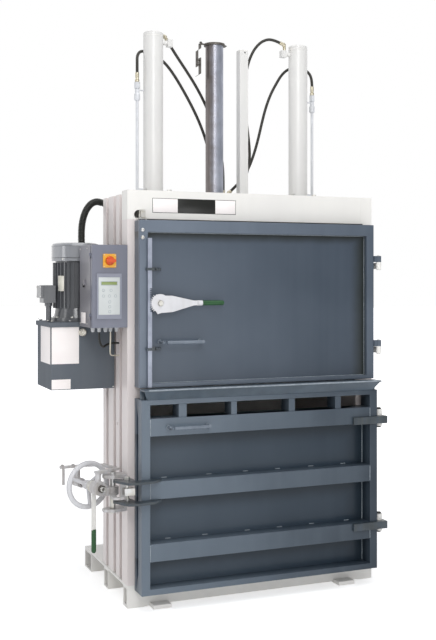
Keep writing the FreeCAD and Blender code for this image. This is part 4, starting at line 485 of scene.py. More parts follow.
def bevelEdges(form, edges, width, steps, sharpFrom):
    sharp = [e for e in edges if len(e.link_faces) == 2 and e.calc_face_angle(0) > math.radians(sharpFrom)]
    bmesh.ops.bevel(form, geom=sharp, offset=width * mm, segments=steps, profile=0.5, affect="EDGES",
                    clamp_overlap=True, material=-1)


def softenEdges(nodeName, width, steps=2, sharpFrom=40, flatTo=1.5):
    # the same solid with its sharp edges broken, as a folded or ground sheet has them
    form = bmesh.new()
    form.from_mesh(nodes[nodeName].data)
    bmesh.ops.remove_doubles(form, verts=form.verts, dist=touching)
    bmesh.ops.dissolve_limit(form, angle_limit=math.radians(flatTo), verts=form.verts, edges=form.edges)
    bevelEdges(form, form.edges, width, steps, sharpFrom)
    piece = makePiece(nodeName + "_form", form, bodyOf(nodeName), slotOf[nodeName], (nodeName,),
                      nodes[nodeName].material_slots[0].material)
    weighted = piece.modifiers.new("even shading", "WEIGHTED_NORMAL")
    weighted.keep_sharp = True


def standOn(place, axis=(0, 0, 1), turn=0.0):
    # takes an upright shape to a point and points it along an axis
    aim = Vector(axis).to_track_quat("Z", "Y").to_matrix().to_4x4()
    return Matrix.Translation(spot(*place)) @ aim @ Matrix.Rotation(math.radians(turn), 4, "Z")


def edgesOf(verts):
    # each edge of these corners once, in the same order in each run
    return list(dict.fromkeys(e for v in verts for e in v.link_edges))


def breakEdges(form, verts, width, steps=1, sharpFrom=30):
    bevelEdges(form, edgesOf(verts), width, steps, sharpFrom)


def addDisc(form, place, axis, radius, height, steps=24, top=None, edge=0.0, turn=0.0):
    # a round or many-sided boss that rises from a point along an axis
    half = Matrix.Translation((0, 0, height * mm / 2))
    made = bmesh.ops.create_cone(form, cap_ends=True, segments=steps, radius1=radius * mm,
                                 radius2=(radius if top is None else top) * mm, depth=height * mm,
                                 matrix=standOn(place, axis, turn) @ half)
    if edge:
        breakEdges(form, made["verts"], edge)


def addBlock(form, low, high, edge=0.0, steps=1):
    size = [(b - a) * mm for a, b in zip(low, high)]
    middle = [(a + b) / 2 for a, b in zip(low, high)]
    made = bmesh.ops.create_cube(form, size=1.0,
                                 matrix=Matrix.Translation(spot(*middle)) @ Matrix.Diagonal((*size, 1.0)))
    if edge:
        breakEdges(form, made["verts"], edge, steps)


def addBolt(form, place, axis, thread=8.0, turn=0.0):
    # chamfered hexagon head on a washer
    way = Vector(axis).normalized()
    addDisc(form, place, axis, thread * 1.05, thread * 0.2, 20, edge=thread * 0.05)
    above = Vector(place) + way * thread * 0.2
    addDisc(form, above, axis, thread * 0.93, thread * 0.5, 6, turn=turn)
    addDisc(form, above + way * thread * 0.5, axis, thread * 0.93, thread * 0.13, 6, top=thread * 0.76,
            turn=turn)


def addScrew(form, place, axis, head=4.0):
    # domed screw head with a socket in its middle
    way = Vector(axis).normalized()
    addDisc(form, place, axis, head, head * 0.35, 16)
    addDisc(form, Vector(place) + way * head * 0.35, axis, head, head * 0.3, 16, top=head * 0.62)
    addDisc(form, Vector(place) + way * head * 0.65, axis, head * 0.34, head * 0.03, 6)


def joinForm(form, other):
    mesh = bpy.data.meshes.new("joined")
    other.to_mesh(mesh)
    other.free()
    form.from_mesh(mesh)
    bpy.data.meshes.remove(mesh)


def addBead(form, start, end, radius=3.0, pitch=9.0):
    # a laid weld: overlapping low scales along a line
    a, b = Vector(start), Vector(end)
    length = (b - a).length
    count = max(2, round(length / pitch))
    profile = [(0.0, 0.0)]
    for i in range(count):
        profile += [(radius * 0.75, length * i / count), (radius, length * (i + 0.55) / count)]
    profile += [(radius * 0.75, length), (0.0, length)]
    bead = bmesh.new()
    corners = [bead.verts.new((r * mm, 0, z * mm)) for r, z in profile]
    edges = [bead.edges.new(pair) for pair in zip(corners, corners[1:])]
    bmesh.ops.spin(bead, geom=corners + edges, cent=(0, 0, 0), axis=(0, 0, 1), angle=math.tau, steps=6,
                   use_merge=True)
    bmesh.ops.remove_doubles(bead, verts=bead.verts, dist=touching / 2)
    bmesh.ops.recalc_face_normals(bead, faces=bead.faces)
    bmesh.ops.transform(bead, matrix=standOn(start, b - a), verts=bead.verts)
    joinForm(form, bead)


def addRing(form, place, axis, radius, thick, steps=32, sides=8):
    # a round bar bent to a full ring
    turn = standOn(place, axis)
    upright = Matrix.Translation((radius * mm, 0, 0)) @ Matrix.Rotation(math.pi / 2, 4, "X")
    section = bmesh.ops.create_circle(form, segments=sides, radius=thick * mm, matrix=turn @ upright)
    bmesh.ops.spin(form, geom=section["verts"] + edgesOf(section["verts"]), cent=turn.translation,
                   axis=turn.to_3x3() @ Vector((0, 0, 1)), angle=math.tau, steps=steps, use_merge=True)
    bmesh.ops.recalc_face_normals(form, faces=form.faces)


edgeWidths = {   # mm broken off each sharp edge
    "base_frame": 2.5, "header_beam": 4.0, "side_wall_left": 3.0, "side_wall_right": 3.0, "rear_wall": 2.5,
    "top_plate": 2.0, "upper_door": 3.0, "lower_door": 2.5, "lower_door_lip": 2.0, "lower_hinge_straps": 3.0,
    "lock_straps": 2.5, "lock_bracket": 2.0, "oil_tank": 3.0, "tank_cover": 2.5, "control_cabinet": 2.0,
    "cabinet_door": 3.0, "guide_tube": 3.0, "terminal_box": 3.0, "sector_lever": 1.0, "press_platen": 2.0,
    "switch_plate": 1.5, "main_switch": 2.0,
}
for name, width in edgeWidths.items():
    softenEdges(name, width)
print("edges softened")

hoseLook = {"radius": 8, "stiffness": "stiff"}
hoses = {
    "hose_left_port": {
        "length": 902,
        "route": [(-337, 430, 2953), (-288, 436, 2886), (-222, 444, 2804), (-158, 452, 2719),
                  (-99, 460, 2623), (-51, 467, 2520), (-13, 473, 2410), (11, 479, 2304),
                  (19, 486, 2210), (20, 490, 2150)]},
    "hose_left_return": {
        "length": 1112,
        "route": [(-529, 378, 2757), (-529, 378, 2804), (-522, 402, 2854), (-492, 440, 2890),
                  (-440, 470, 2898), (-384, 484, 2882), (-336, 488, 2850), (-297, 486, 2807),
                  (-252, 484, 2743), (-202, 482, 2662), (-150, 481, 2570), (-104, 481, 2469),
                  (-70, 482, 2363), (-47, 484, 2268), (-38, 488, 2196), (-36, 490, 2150)]},
    "hose_right_port": {
        "length": 996,
        "route": [(324, 382, 2994), (276, 390, 3015), (223, 404, 3000), (184, 419, 2957),
                  (159, 429, 2903), (144, 436, 2847), (137, 440, 2789), (131, 443, 2698),
                  (137, 445, 2602), (150, 447, 2506), (165, 451, 2411), (172, 460, 2320),
                  (158, 474, 2242), (136, 486, 2186), (126, 490, 2148)]},
    "hose_right_return": {
        "length": 1041,
        "route": [(529, 378, 2757), (529, 378, 2798), (522, 402, 2843), (494, 438, 2872),
                  (452, 464, 2880), (414, 480, 2863), (382, 487, 2829), (354, 487, 2784),
                  (314, 484, 2716), (281, 482, 2632), (257, 481, 2545), (235, 484, 2450),
                  (211, 489, 2364), (182, 496, 2285), (146, 505, 2222), (106, 511, 2178),
                  (76, 514, 2150)]},
}
ribbed = {   # corrugated conduits: a rib stands on each pitch, and both ends are plain
    "power_conduit_line": {
        "node": "power_conduit", "length": 740, "radius": 17.0, "rib": 2.5, "wall": 2.0, "pitch": 8.0,
        "plainEnd": 29.0,
        "route": [(-792, 580, 1438), (-792, 580, 1500), (-785, 586, 1586), (-777, 590, 1680),
                  (-778, 592, 1778), (-781, 594, 1862), (-778, 600, 1944), (-758, 606, 2016),
                  (-720, 614, 2066), (-670, 620, 2078), (-628, 620, 2056)]},
    "cabinet_loop_line": {
        "node": "cabinet_cables", "length": 227, "radius": 4.6, "rib": 0.9, "wall": 1.0, "pitch": 4.0,
        "plainEnd": 11.0,
        "route": [(-826, 70, 1379), (-826, 70, 1350), (-820.5, 77, 1328), (-810, 91, 1311),
                  (-797, 108.5, 1302), (-783, 128, 1302), (-769, 146, 1308), (-749, 159, 1313),
                  (-726, 165, 1316), (-694, 165, 1316)]},
}
cabinetWire = {
    "length": 206, "radius": 3.5, "stiffness": "medium",
    "route": [(-764, 80, 1379), (-764, 80, 1349), (-763, 87, 1318), (-760, 100, 1290),
              (-755, 118, 1270), (-746, 137, 1258), (-734, 153, 1253), (-716, 163, 1253),
              (-694, 163, 1253)],
}


def routeCurve(name, route, radius):
    curve = bpy.data.curves.new(name, "CURVE")
    curve.dimensions = "3D"
    curve.bevel_depth = radius * mm
    curve.bevel_resolution = 5
    curve.resolution_u = 6
    curve.use_fill_caps = radius > 0
    spline = curve.splines.new("NURBS")
    spline.points.add(len(route) - 1)
    for point, place in zip(spline.points, route):
        point.co = (*spot(*place), 1.0)
    spline.order_u = 3
    spline.use_endpoint_u = True
    return curve


def plainCord(name, node, look, material):
    curve = routeCurve(name, look["route"], look["radius"])
    curve.materials.append(material)
    piece = addObject(name, curve)
    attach(piece, "frame")
    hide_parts(node)


def pathPoints(name, route):
    # points along the smooth line of a route, read from a curve with no thickness
    holder = bpy.data.objects.new(name, routeCurve(name, route, 0))
    mesh = bpy.data.meshes.new_from_object(holder)
    points = [v.co.copy() for v in mesh.vertices]
    bpy.data.objects.remove(holder)
    return points


def alongPath(points):
    # place and heading at a distance along the points
    lengths = [0.0]
    for a, b in zip(points, points[1:]):
        lengths.append(lengths[-1] + (b - a).length)

    def at(distance):
        distance = min(max(distance, 0.0), lengths[-1])
        i = max(k for k in range(len(lengths) - 1) if lengths[k] <= distance + 1e-9)
        share = (distance - lengths[i]) / (lengths[i + 1] - lengths[i])
        return points[i].lerp(points[i + 1], share), (points[i + 1] - points[i]).normalized()
    return at, lengths[-1]


def ribbedCord(name, look):
    # a straight corrugated pipe is spun, and then each of its points is taken to its place on the route
    points = pathPoints(name + "_path", look["route"])
    at, total = alongPath(points)
    radius, rib, pitch = look["radius"] * mm, look["rib"] * mm, look["pitch"] * mm
    count = int((total - 2 * look["plainEnd"] * mm) / pitch)
    start = (total - count * pitch) / 2
    profile = [(radius - look["wall"] * mm, 0.0), (radius, 0.0)]
    ribShape = ((0, 0), (0.25, rib), (0.6, rib), (0.85, 0))   # share of the pitch, height
    for i in range(count):
        low = start + i * pitch
        profile += [(radius + rise, low + pitch * share) for share, rise in ribShape]
    profile += [(radius, total), (radius - look["wall"] * mm, total)]
    form = bmesh.new()
    corners = [form.verts.new((r, 0, z)) for r, z in profile]
    edges = [form.edges.new(pair) for pair in zip(corners, corners[1:])]
    bmesh.ops.spin(form, geom=corners + edges, cent=(0, 0, 0), axis=(0, 0, 1), angle=math.tau, steps=20,
                   use_merge=True)
    bmesh.ops.holes_fill(form, edges=[e for e in form.edges if e.is_boundary])
    steady = Vector((0, 1, 0))
    for v in form.verts:
        place, heading = at(v.co.z)
        across = (steady - heading * steady.dot(heading)).normalized()
        v.co = place + across * v.co.y + across.cross(heading) * v.co.x
    bmesh.ops.recalc_face_normals(form, faces=form.faces)
    if form.calc_volume(signed=True) < 0:   # a curled tube can come out of that inside out
        bmesh.ops.reverse_faces(form, faces=form.faces)
    piece = makePiece(name, form, "frame", "conduit_plastic", (look["node"],), smoothTo=50)


for name, hose in hoses.items():
    plainCord(name + "_line", name, hoseLook | hose, finishes["hose_rubber"])
for name, conduit in ribbed.items():
    ribbedCord(name, conduit)
plainCord("cabinet_wire_line", "cabinet_cables", cabinetWire, cableJacket)
print("hoses and cables laid")


def labelPlate(name, low, high, body, slotName, material, edge=0.25):
    form = bmesh.new()
    addBlock(form, low, high, edge, 2)
    makePiece(name, form, body, slotName, material=material)


namePlate = {"left": -569, "right": -113, "low": 1978, "high": 2052, "rim": 2.5, "splits": (-434, -228),
             "back": (-0.8, 0), "field": (-1.5, -0.7)}


def makeNamePlate(look):
    # a bare plate of three fields in a thin black rim
    rim, low, high = look["rim"], look["low"], look["high"]
    front, back = look["back"]
    labelPlate("name_plate_back", (look["left"], front, low), (look["right"], back, high), "frame",
               "fan_plastic", foils["black"], 0.3)
    firstSplit, lastSplit = look["splits"]
    fields = (("left", look["left"] + rim, firstSplit, "white"), ("middle", firstSplit, lastSplit, "black"),
              ("right", lastSplit, look["right"] - rim, "white"))
    front, back = look["field"]
    for side, x0, x1, foil in fields:
        labelPlate("name_plate_" + side, (x0, front, low + rim), (x1, back, high - rim), "frame",
                   "fan_plastic" if foil == "black" else "body_white", foils[foil])


makeNamePlate(namePlate)

labels = {   # lowest and highest corner of each bare label
    "tank_front_label": ((-1026, 244.2, 1210), (-884, 245, 1402)),
    "tank_side_label": ((-1029.8, 262, 1208), (-1029, 484, 1400)),
    "tank_small_label": ((-1026, 244.2, 1081), (-928, 245, 1131)),
    "cabinet_side_label": ((-886.8, 103, 1421), (-886.2, 190, 1476)),
}
for name, (low, high) in labels.items():
    labelPlate(name, low, high, "frame", "body_white", foils["white"])

keypad = {
    "foil": ((-853, 1467.5), (-744, 1652.5)), "display": ((-838, 1615), (-759, 1630)), "frame": 3,
    "level": -16,               # y of the panel that carries it
    "foilY": (0.8, 0), "frameY": (1.2, 0.7), "displayY": (1.6, 1.0),   # front and back, in front of the panel
    "keys": [(-828, 1588), (-789, 1588), (-828, 1560), (-797, 1560), (-766, 1560), (-796, 1531), (-796, 1507),
             (-796, 1483)],
    "keySize": 15, "keyRim": 2.5, "rimY": 0.7, "rimHeight": 0.6, "capY": 1.2, "capHeight": 0.8,
}


def makeKeypad(look):
    body, y = bodyOf("display_panel"), look["level"]
    plates = (("keypad_foil", "foil", 0, "foilY", "keypad"),
              ("keypad_display_frame", "display", look["frame"], "frameY", "keys"),
              ("keypad_display", "display", 0, "displayY", "display"))
    for name, area, grow, depth, foil in plates:
        (x0, z0), (x1, z1) = look[area]
        front, back = look[depth]
        labelPlate(name, (x0 - grow, y - front, z0 - grow), (x1 + grow, y - back, z1 + grow), body,
                   "panel_foil", foils[foil])
    rims, caps = bmesh.new(), bmesh.new()
    half = look["keySize"] / 2
    for x, z in look["keys"]:
        addDisc(rims, (x, y - look["rimY"], z), (0, -1, 0), half, look["rimHeight"], 24, edge=0.2)
        addDisc(caps, (x, y - look["capY"], z), (0, -1, 0), half - look["keyRim"], look["capHeight"], 20,
                edge=0.3)
    makePiece("keypad_key_rims", rims, body, "panel_foil", material=foils["keys"])
    makePiece("keypad_key_caps", caps, body, "panel_foil", material=foils["keypad"])


makeKeypad(keypad)
print("labels and keypad made")

motorLook = {
    "axis": (-861.65, 407.5), "cover": 1422, "cowlLow": 1738,
    "flangeBolts": {"radius": 114, "lift": 20, "count": 8, "first": 22.5, "thread": 9},
    "cowlScrews": {"radius": 125, "lift": 9, "count": 4, "first": 45, "head": 5},
    "cowlBeads": ((17, 126.0), (78, 124.5)), "beadThick": 1.4,       # height over the cowl's edge, radius
    "plate": {"low": (-19, -120.5, 1581), "high": (19, -118.4, 1661), "turn": -52,   # from the motor's axis
              "rivets": (15, 1586, 1656), "rivetY": -120.4},
    "lid": {"face": -196.3, "across": (-50, 37), "heights": (1554, 1602), "head": 4.5},
    "gasket": ((-183.5, -57, 1544), (-181.2, 42, 1611)),
}


def spreadRound(axis, low, part):
    # places spread evenly round an upright axis, each with its heading
    x, y = axis
    for i in range(part["count"]):
        a = math.radians(part["first"] + 360 / part["count"] * i)
        place = (x + part["radius"] * math.cos(a), y + part["radius"] * math.sin(a), low + part["lift"])
        yield i, place, (math.cos(a), math.sin(a), 0)


def makeMotorDetails(look):
    x, y = look["axis"]
    bolts = bmesh.new()
    for i, place, way in spreadRound(look["axis"], look["cover"], look["flangeBolts"]):
        addBolt(bolts, place, (0, 0, 1), look["flangeBolts"]["thread"], 15 * i)
    for i, place, way in spreadRound(look["axis"], look["cowlLow"], look["cowlScrews"]):
        addScrew(bolts, place, way, look["cowlScrews"]["head"])
    makePiece("motor_bolts", bolts, "frame", "bright_steel")

    foot = Vector((x, y, 0))
    plate, form = look["plate"], bmesh.new()
    addBlock(form, foot + Vector(plate["low"]), foot + Vector(plate["high"]), 0.6, 2)
    side, low, high = plate["rivets"]
    for z in (low, high):
        for dx in (-side, side):
            addDisc(form, (x + dx, y + plate["rivetY"], z), (0, -1, 0), 1.8, 1.0, 12, top=1.2)
    bmesh.ops.rotate(form, cent=spot(x, y, (low + high) / 2),
                     matrix=Matrix.Rotation(math.radians(plate["turn"]), 3, "Z"), verts=form.verts)
    makePiece("motor_rating_plate", form, "frame", "bright_steel", material=foils["metal"])

    beads = bmesh.new()
    for lift, radius in look["cowlBeads"]:
        addRing(beads, (x, y, look["cowlLow"] + lift), (0, 0, 1), radius, look["beadThick"], 64)
    makePiece("motor_cowl_beads", beads, "frame", "motor_grey")

    lid, screws = look["lid"], bmesh.new()
    for z in lid["heights"]:
        for dy in lid["across"]:
            addScrew(screws, (x + lid["face"], y + dy, z), (-1, 0, 0), lid["head"])
    makePiece("terminal_lid_screws", screws, "frame", "bright_steel")
    gasket = bmesh.new()
    low, high = look["gasket"]
    addBlock(gasket, foot + Vector(low), foot + Vector(high), 0.8, 2)
    makePiece("terminal_gasket", gasket, "frame", "fan_plastic")


makeMotorDetails(motorLook)

tankLook = {
    "left": -1037, "front": 237, "back": 578, "top": 1428, "boltIn": 12, "thread": 6,
    "boltsX": (-1024, -930, -760, -712), "boltsY": (330, 485),
    "wallBolt": {"place": (-701.5, 245, 1085), "thread": 4},
    "gasket": ((-1030.5, 243.6, 1405), (-694.6, 571.4, 1408)),
    "drain": {"place": (-820, 408, 1077), "washer": (15, 3), "plug": (11, 9)},       # radius and height
    "gauge": {"frame": ((-900, 570, 1180), (-872, 574, 1330)), "bolts": (-886, 574, (1194, 1316)),
              "thread": 7, "window": ((-893, 573.6, 1208), (-879, 576, 1302))},
}


def makeTankDetails(look):
    bolts = bmesh.new()
    for x in look["boltsX"]:
        for y in (look["front"] + look["boltIn"], look["back"] - look["boltIn"]):
            addBolt(bolts, (x, y, look["top"]), (0, 0, 1), look["thread"])
    for y in look["boltsY"]:
        addBolt(bolts, (look["left"] + look["boltIn"], y, look["top"]), (0, 0, 1), look["thread"])
    addBolt(bolts, look["wallBolt"]["place"], (0, -1, 0), look["wallBolt"]["thread"])
    makePiece("tank_cover_bolts", bolts, "frame", "bright_steel")
    seam = bmesh.new()
    addBlock(seam, *look["gasket"], 0.8)
    makePiece("tank_cover_gasket", seam, "frame", "fan_plastic")

    drain = bmesh.new()
    x, y, z = look["drain"]["place"]
    radius, height = look["drain"]["washer"]
    addDisc(drain, (x, y, z), (0, 0, -1), radius, height, 24, edge=0.6)
    addDisc(drain, (x, y, z - height), (0, 0, -1), *look["drain"]["plug"], 6, edge=0.8)
    makePiece("tank_drain_plug", drain, "frame", "bright_steel")

    gauge, form = look["gauge"], bmesh.new()
    addBlock(form, *gauge["frame"], 2, 2)
    x, y, heights = gauge["bolts"]
    for z in heights:
        addBolt(form, (x, y, z), (0, 1, 0), gauge["thread"])
    makePiece("tank_level_gauge", form, "frame", "bright_steel")
    window = bmesh.new()
    addBlock(window, *gauge["window"], 1.0, 2)
    makePiece("tank_gauge_window", window, "frame", "bright_steel", material=foils["display"])


makeTankDetails(tankLook)

cabinetLook = {
    "left": -884, "right": -703,
    "latch": {"y": 137, "z": 1612, "radius": 11, "seat": 2, "thick": 2.5, "key": (4, 9), "half": (3.5, 9)},
    "sideScrews": {"across": (80, 214), "heights": (1420, 1796), "head": 4},
    "switchScrews": {"across": (-824, -768), "heights": (1706, 1762), "y": -17.0, "head": 2.6},
    "rails": {"heights": (1440, 1776), "half": 14, "depth": (70, 190), "wall": -694.3},
}


def makeCabinetDetails(look):
    latch, part = bmesh.new(), look["latch"]
    left, y, z = look["left"], part["y"], part["z"]
    near, far = part["key"]
    wide, tall = part["half"]
    addDisc(latch, (left - part["seat"], y, z), (-1, 0, 0), part["radius"], part["thick"], 24, edge=0.8)
    addBlock(latch, (left - far, y - wide, z - tall), (left - near, y + wide, z + tall), 1.2, 2)
    makePiece("cabinet_latch", latch, "frame", "fan_plastic")

    screws, part = bmesh.new(), look["sideScrews"]
    for z in part["heights"]:
        for y in part["across"]:
            addScrew(screws, (look["left"] - 0.2, y, z), (-1, 0, 0), part["head"])
            addScrew(screws, (look["right"] + 0.2, y, z), (1, 0, 0), part["head"])
    part = look["switchScrews"]
    for z in part["heights"]:
        for x in part["across"]:
            addScrew(screws, (x, part["y"], z), (0, -1, 0), part["head"])
    makePiece("cabinet_screws", screws, "frame", "bright_steel")

    rails, part = bmesh.new(), look["rails"]
    front, back = part["depth"]
    for z in part["heights"]:
        addBlock(rails, (look["right"], front, z - part["half"]), (part["wall"], back, z + part["half"]), 1.0)
    makePiece("cabinet_rails", rails, "frame", "cabinet_grey")


makeCabinetDetails(cabinetLook)
print("motor, tank and cabinet details made")

# a bead's size is its radius and the pitch of its scales
lowerWelds = {
    "stitches": {649: (-520, -278, -75, 110, 305, 500), 342: (-500, -300, -65, 120, 310, 520),
                 559: (-400, -150, 180, 430), 252: (-420, -130, 160, 450), 869: (-380, 0, 380)},
    "stitchHalf": 14, "panelY": -37, "frontY": -120.2, "inner": 619,
    "panels": ((121, 252), (342, 559), (649, 869)), "ribs": ((253, 341), (560, 648), (870, 958)), "ribIn": 4,
    "stitchBead": (3.6, 9), "panelBead": (3.2, 12), "ribBead": (2.4, 8),
}
upperWelds = {"y": -55.8, "sides": (-619.5, 619.5), "sideHeights": (1128, 1874), "ends": (-616, 616),
              "levels": (1875.5, 1126.5), "bead": (2.4, 10)}
bodyWelds = {
    "folds": ((158, 220), (268, 358), (404, 462)), "foldIn": 1.5, "skinX": 608.5, "foldHeights": (118, 2074),
    "foldBead": (3.0, 24), "ribX": 694, "ribLow": 115, "ribBead": (3.0, 8),
    "postX": (610, 698), "postY": -0.5, "headerLow": 1943, "postBead": (1.6, 6),
    "headerEnds": ((632, 1947, 2086), (-632, 1947, 1970)), "headerY": -0.3, "headerBead": (1.4, 5),
    "rearRibs": {"first": 144, "last": 1988, "count": 6, "tall": 60, "half": 556, "y": 736.5,
                 "bead": (2.8, 16)},
    # a dark strip under the header: painted shade in the gap above the upper door
    "shadowStrip": ((-600, -7, 1938.5), (640, -0.2, 1946)),
}


def makeLowerDoorWelds(look):
    beads = bmesh.new()
    y, inner, half = look["panelY"], look["inner"], look["stitchHalf"]
    for z, middles in look["stitches"].items():
        for x in middles:
            addBead(beads, (x - half, y, z), (x + half, y, z), *look["stitchBead"])
    for low, high in look["panels"]:
        for x in (0.5 - inner, inner - 0.5):
            addBead(beads, (x, y, low), (x, y, high), *look["panelBead"])
    y = look["frontY"]
    for low, high in look["ribs"]:
        for x in (-inner, inner):
            addBead(beads, (x, y, low + look["ribIn"]), (x, y, high - look["ribIn"]), *look["ribBead"])
    makePiece("lower_door_welds", beads, bodyOf("lower_door"), "door_dark", material=beadHighlightPaint)


def makeUpperDoorWelds(look):
    beads, y = bmesh.new(), look["y"]
    low, high = look["sideHeights"]
    for x in look["sides"]:
        addBead(beads, (x, y, low), (x, y, high), *look["bead"])
    left, right = look["ends"]
    for z in look["levels"]:
        addBead(beads, (left, y, z), (right, y, z), *look["bead"])
    makePiece("upper_door_welds", beads, bodyOf("upper_door"), "door_blue", material=beadHighlightPaint)


def makeBodyWelds(look):
    beads = bmesh.new()
    low, high = look["foldHeights"]
    for side in (-1, 1):
        x = side * look["skinX"]
        for front, back in look["folds"]:
            for y in (front - look["foldIn"], back + look["foldIn"]):
                addBead(beads, (x, y, low), (x, y, high), *look["foldBead"])
        x = side * look["ribX"]
        for front, back in look["folds"]:
            addBead(beads, (x, front, look["ribLow"]), (x, back, look["ribLow"]), *look["ribBead"])
        inner, outer = look["postX"]
        y, z = look["postY"], look["headerLow"]
        addBead(beads, (side * inner, y, z), (side * outer, y, z), *look["postBead"])
    y = look["headerY"]
    for x, low, high in look["headerEnds"]:
        addBead(beads, (x, y, low), (x, y, high), *look["headerBead"])
    rear = look["rearRibs"]
    for i in range(rear["count"]):
        z = rear["first"] + i * (rear["last"] - rear["first"]) / (rear["count"] - 1)
        for level in (z, z + rear["tall"]):
            addBead(beads, (-rear["half"], rear["y"], level), (rear["half"], rear["y"], level), *rear["bead"])
    # a dark strip under the header: painted shade in the gap above the upper door
    shadowStrip = bmesh.new()
    addBlock(shadowStrip, *look["shadowStrip"], 2.0, 2)
    makePiece("header_shadow_strip", shadowStrip, "frame", "fan_plastic")
    makePiece("body_welds", beads, "frame", "body_white")


makeLowerDoorWelds(lowerWelds)
makeUpperDoorWelds(upperWelds)
makeBodyWelds(bodyWelds)
print("welds laid")

topLook = {
    "cylinders": (-438, 438), "y": 378, "foot": 2114, "head": 2981, "radius": 54,
    "footBolts": {"out": 68, "thread": 14},
    "headScrews": {"radius": 34, "lift": 0, "count": 4, "first": 45, "head": 6},
    "weld": (1, 4.0), "headRing": (22, 1.3),      # height over the foot or under the head, thickness
    "manifoldBolts": {"across": (-66, 140), "depth": (480, 528), "thread": 7},
    "tubeCap": {"low": (63, 352, 2922), "high": (115, 404, 2927), "knobPlace": (89, 378, 2927),
                "knob": (5, 5, 3.5)},
    "wiper": {"place": (-80, 378, 2115), "radius": 53, "thick": 3.0},
}


def makeTopDetails(look):
    bolts, rings = bmesh.new(), bmesh.new()
    out, thread = look["footBolts"]["out"], look["footBolts"]["thread"]
    ringLift, ringThick = look["weld"]
    headDrop, headThick = look["headRing"]
    for x in look["cylinders"]:
        for dx, dy in ((-out, -out), (out, -out), (out, out), (-out, out)):
            addBolt(bolts, (x + dx, look["y"] + dy, look["foot"]), (0, 0, 1), thread, dx)
        for i, place, way in spreadRound((x, look["y"]), look["head"], look["headScrews"]):
            addScrew(bolts, place, (0, 0, 1), look["headScrews"]["head"])
        addRing(rings, (x, look["y"], look["foot"] + ringLift), (0, 0, 1), look["radius"] + 1, ringThick, 48)
        addRing(rings, (x, look["y"], look["head"] - headDrop), (0, 0, 1), look["radius"], headThick, 48)
    part = look["manifoldBolts"]
    for y in part["depth"]:
        for x in part["across"]:
            addBolt(bolts, (x, y, look["foot"]), (0, 0, 1), part["thread"])
    makePiece("cylinder_bolts", bolts, "frame", "bright_steel")
    makePiece("cylinder_welds", rings, "frame", "body_white")

    cap, part = bmesh.new(), look["tubeCap"]
    addBlock(cap, part["low"], part["high"], 1.5, 2)
    radius, height, top = part["knob"]
    addDisc(cap, part["knobPlace"], (0, 0, 1), radius, height, 16, top=top, edge=0.6)
    makePiece("guide_tube_cap", cap, bodyOf("guide_tube"), "body_white")
    wiper, part = bmesh.new(), look["wiper"]
    addRing(wiper, part["place"], (0, 0, 1), part["radius"], part["thick"], 48)
    makePiece("column_wiper", wiper, "frame", "fan_plastic")


makeTopDetails(topLook)

lockLook = {
    "start": (-841, -15, 613), "lean": 16,    # the spindle's line starts here and leans to the left
    "rings": ((56, 30.5), (63, 31), (70, 29), (79, 26.5), (89, 23.5), (99, 20.5)), "ringThick": 3.2,
    "thread": {"from": -30, "turns": 12, "pitch": 2.4, "radius": 11.6, "thick": 1.0},
    "wheel": {"distance": 120, "ring": 108.5, "bar": 13.5, "hubRadius": 24, "hubLength": 40, "firstSpoke": 35,
              "spokes": 3, "spoke": (11, 8.5), "boss": (14, 5, 11)},
}


def makeLockDetails(look):
    a = math.radians(look["lean"])
    way = Vector((-math.sin(a), math.cos(a), 0))

    def along(distance):
        x, y, z = look["start"]
        return x - distance * math.sin(a), y + distance * math.cos(a), z

    rings = bmesh.new()
    for distance, radius in look["rings"]:
        addRing(rings, along(distance), way, radius, look["ringThick"], 40)
    makePiece("spindle_rings", rings, bodyOf("lock_arm"), "bright_steel")
    threads, part = bmesh.new(), look["thread"]
    for i in range(part["turns"]):
        addRing(threads, along(part["from"] + i * part["pitch"]), way, part["radius"], part["thick"], 24, 6)
    makePiece("spindle_thread", threads, bodyOf("lock_spindle"), "bright_steel")

    wheel, casting = look["wheel"], bmesh.new()
    middle, half = wheel["distance"], wheel["hubLength"] / 2
    addRing(casting, along(middle), way, wheel["ring"], wheel["bar"], 72, 16)
    addDisc(casting, along(middle - half), way, wheel["hubRadius"], wheel["hubLength"], 32, edge=3)
    radius, height, top = wheel["boss"]
    addDisc(casting, along(middle + half), way, radius, height, 24, top=top, edge=1)
    side = Vector((math.cos(a), math.sin(a), 0))
    inner = wheel["hubRadius"] - 5
    thick, thin = wheel["spoke"]
    for i in range(wheel["spokes"]):
        b = math.radians(wheel["firstSpoke"] + 360 / wheel["spokes"] * i)
        out = side * math.cos(b) + Vector((0, 0, 1)) * math.sin(b)
        addDisc(casting, Vector(along(middle)) + out * inner, out, thick, wheel["ring"] - inner, 20, top=thin)
    makePiece("handwheel_form", casting, bodyOf("handwheel"), slotOf["handwheel"], ("handwheel",), wheelPaint)


makeLockDetails(lockLook)

handleLook = {
    "radius": 9, "bend": 16, "footRadius": 8.5, "footThick": 2.2,
    "upper_door_handle": {"ends": (-549, -336), "far": -125, "near": -55, "z": 1330, "footY": -56,
                          "door": "upper_door", "welds": "upper_handle_welds", "slot": "door_blue"},
    "lower_door_handle": {"ends": (-525, -317), "far": -168, "near": -120, "z": 911, "footY": -121,
                          "door": "lower_door", "welds": "lower_handle_welds", "slot": "door_dark"},
}
leverLook = {
    "washer": {"place": (-561, -105.6, 1524), "radius": 14.5, "thick": 1.2},
    "tabs": {"heights": (1683, 1288), "low": (-573, -72, 3), "high": (-546, -54.5, 16),   # z over the height
             "bolt": (-556, -72, 9.5)},
    "sleeve": {"place": (-364, -99, 1524), "radius": 13.4, "length": 26},
    # the ledge: a pale round bar along the lip's top edge, a painted highlight
    "ledge": {"place": (-640, -163, 1100.5), "radius": 4.2, "length": 1290},
}


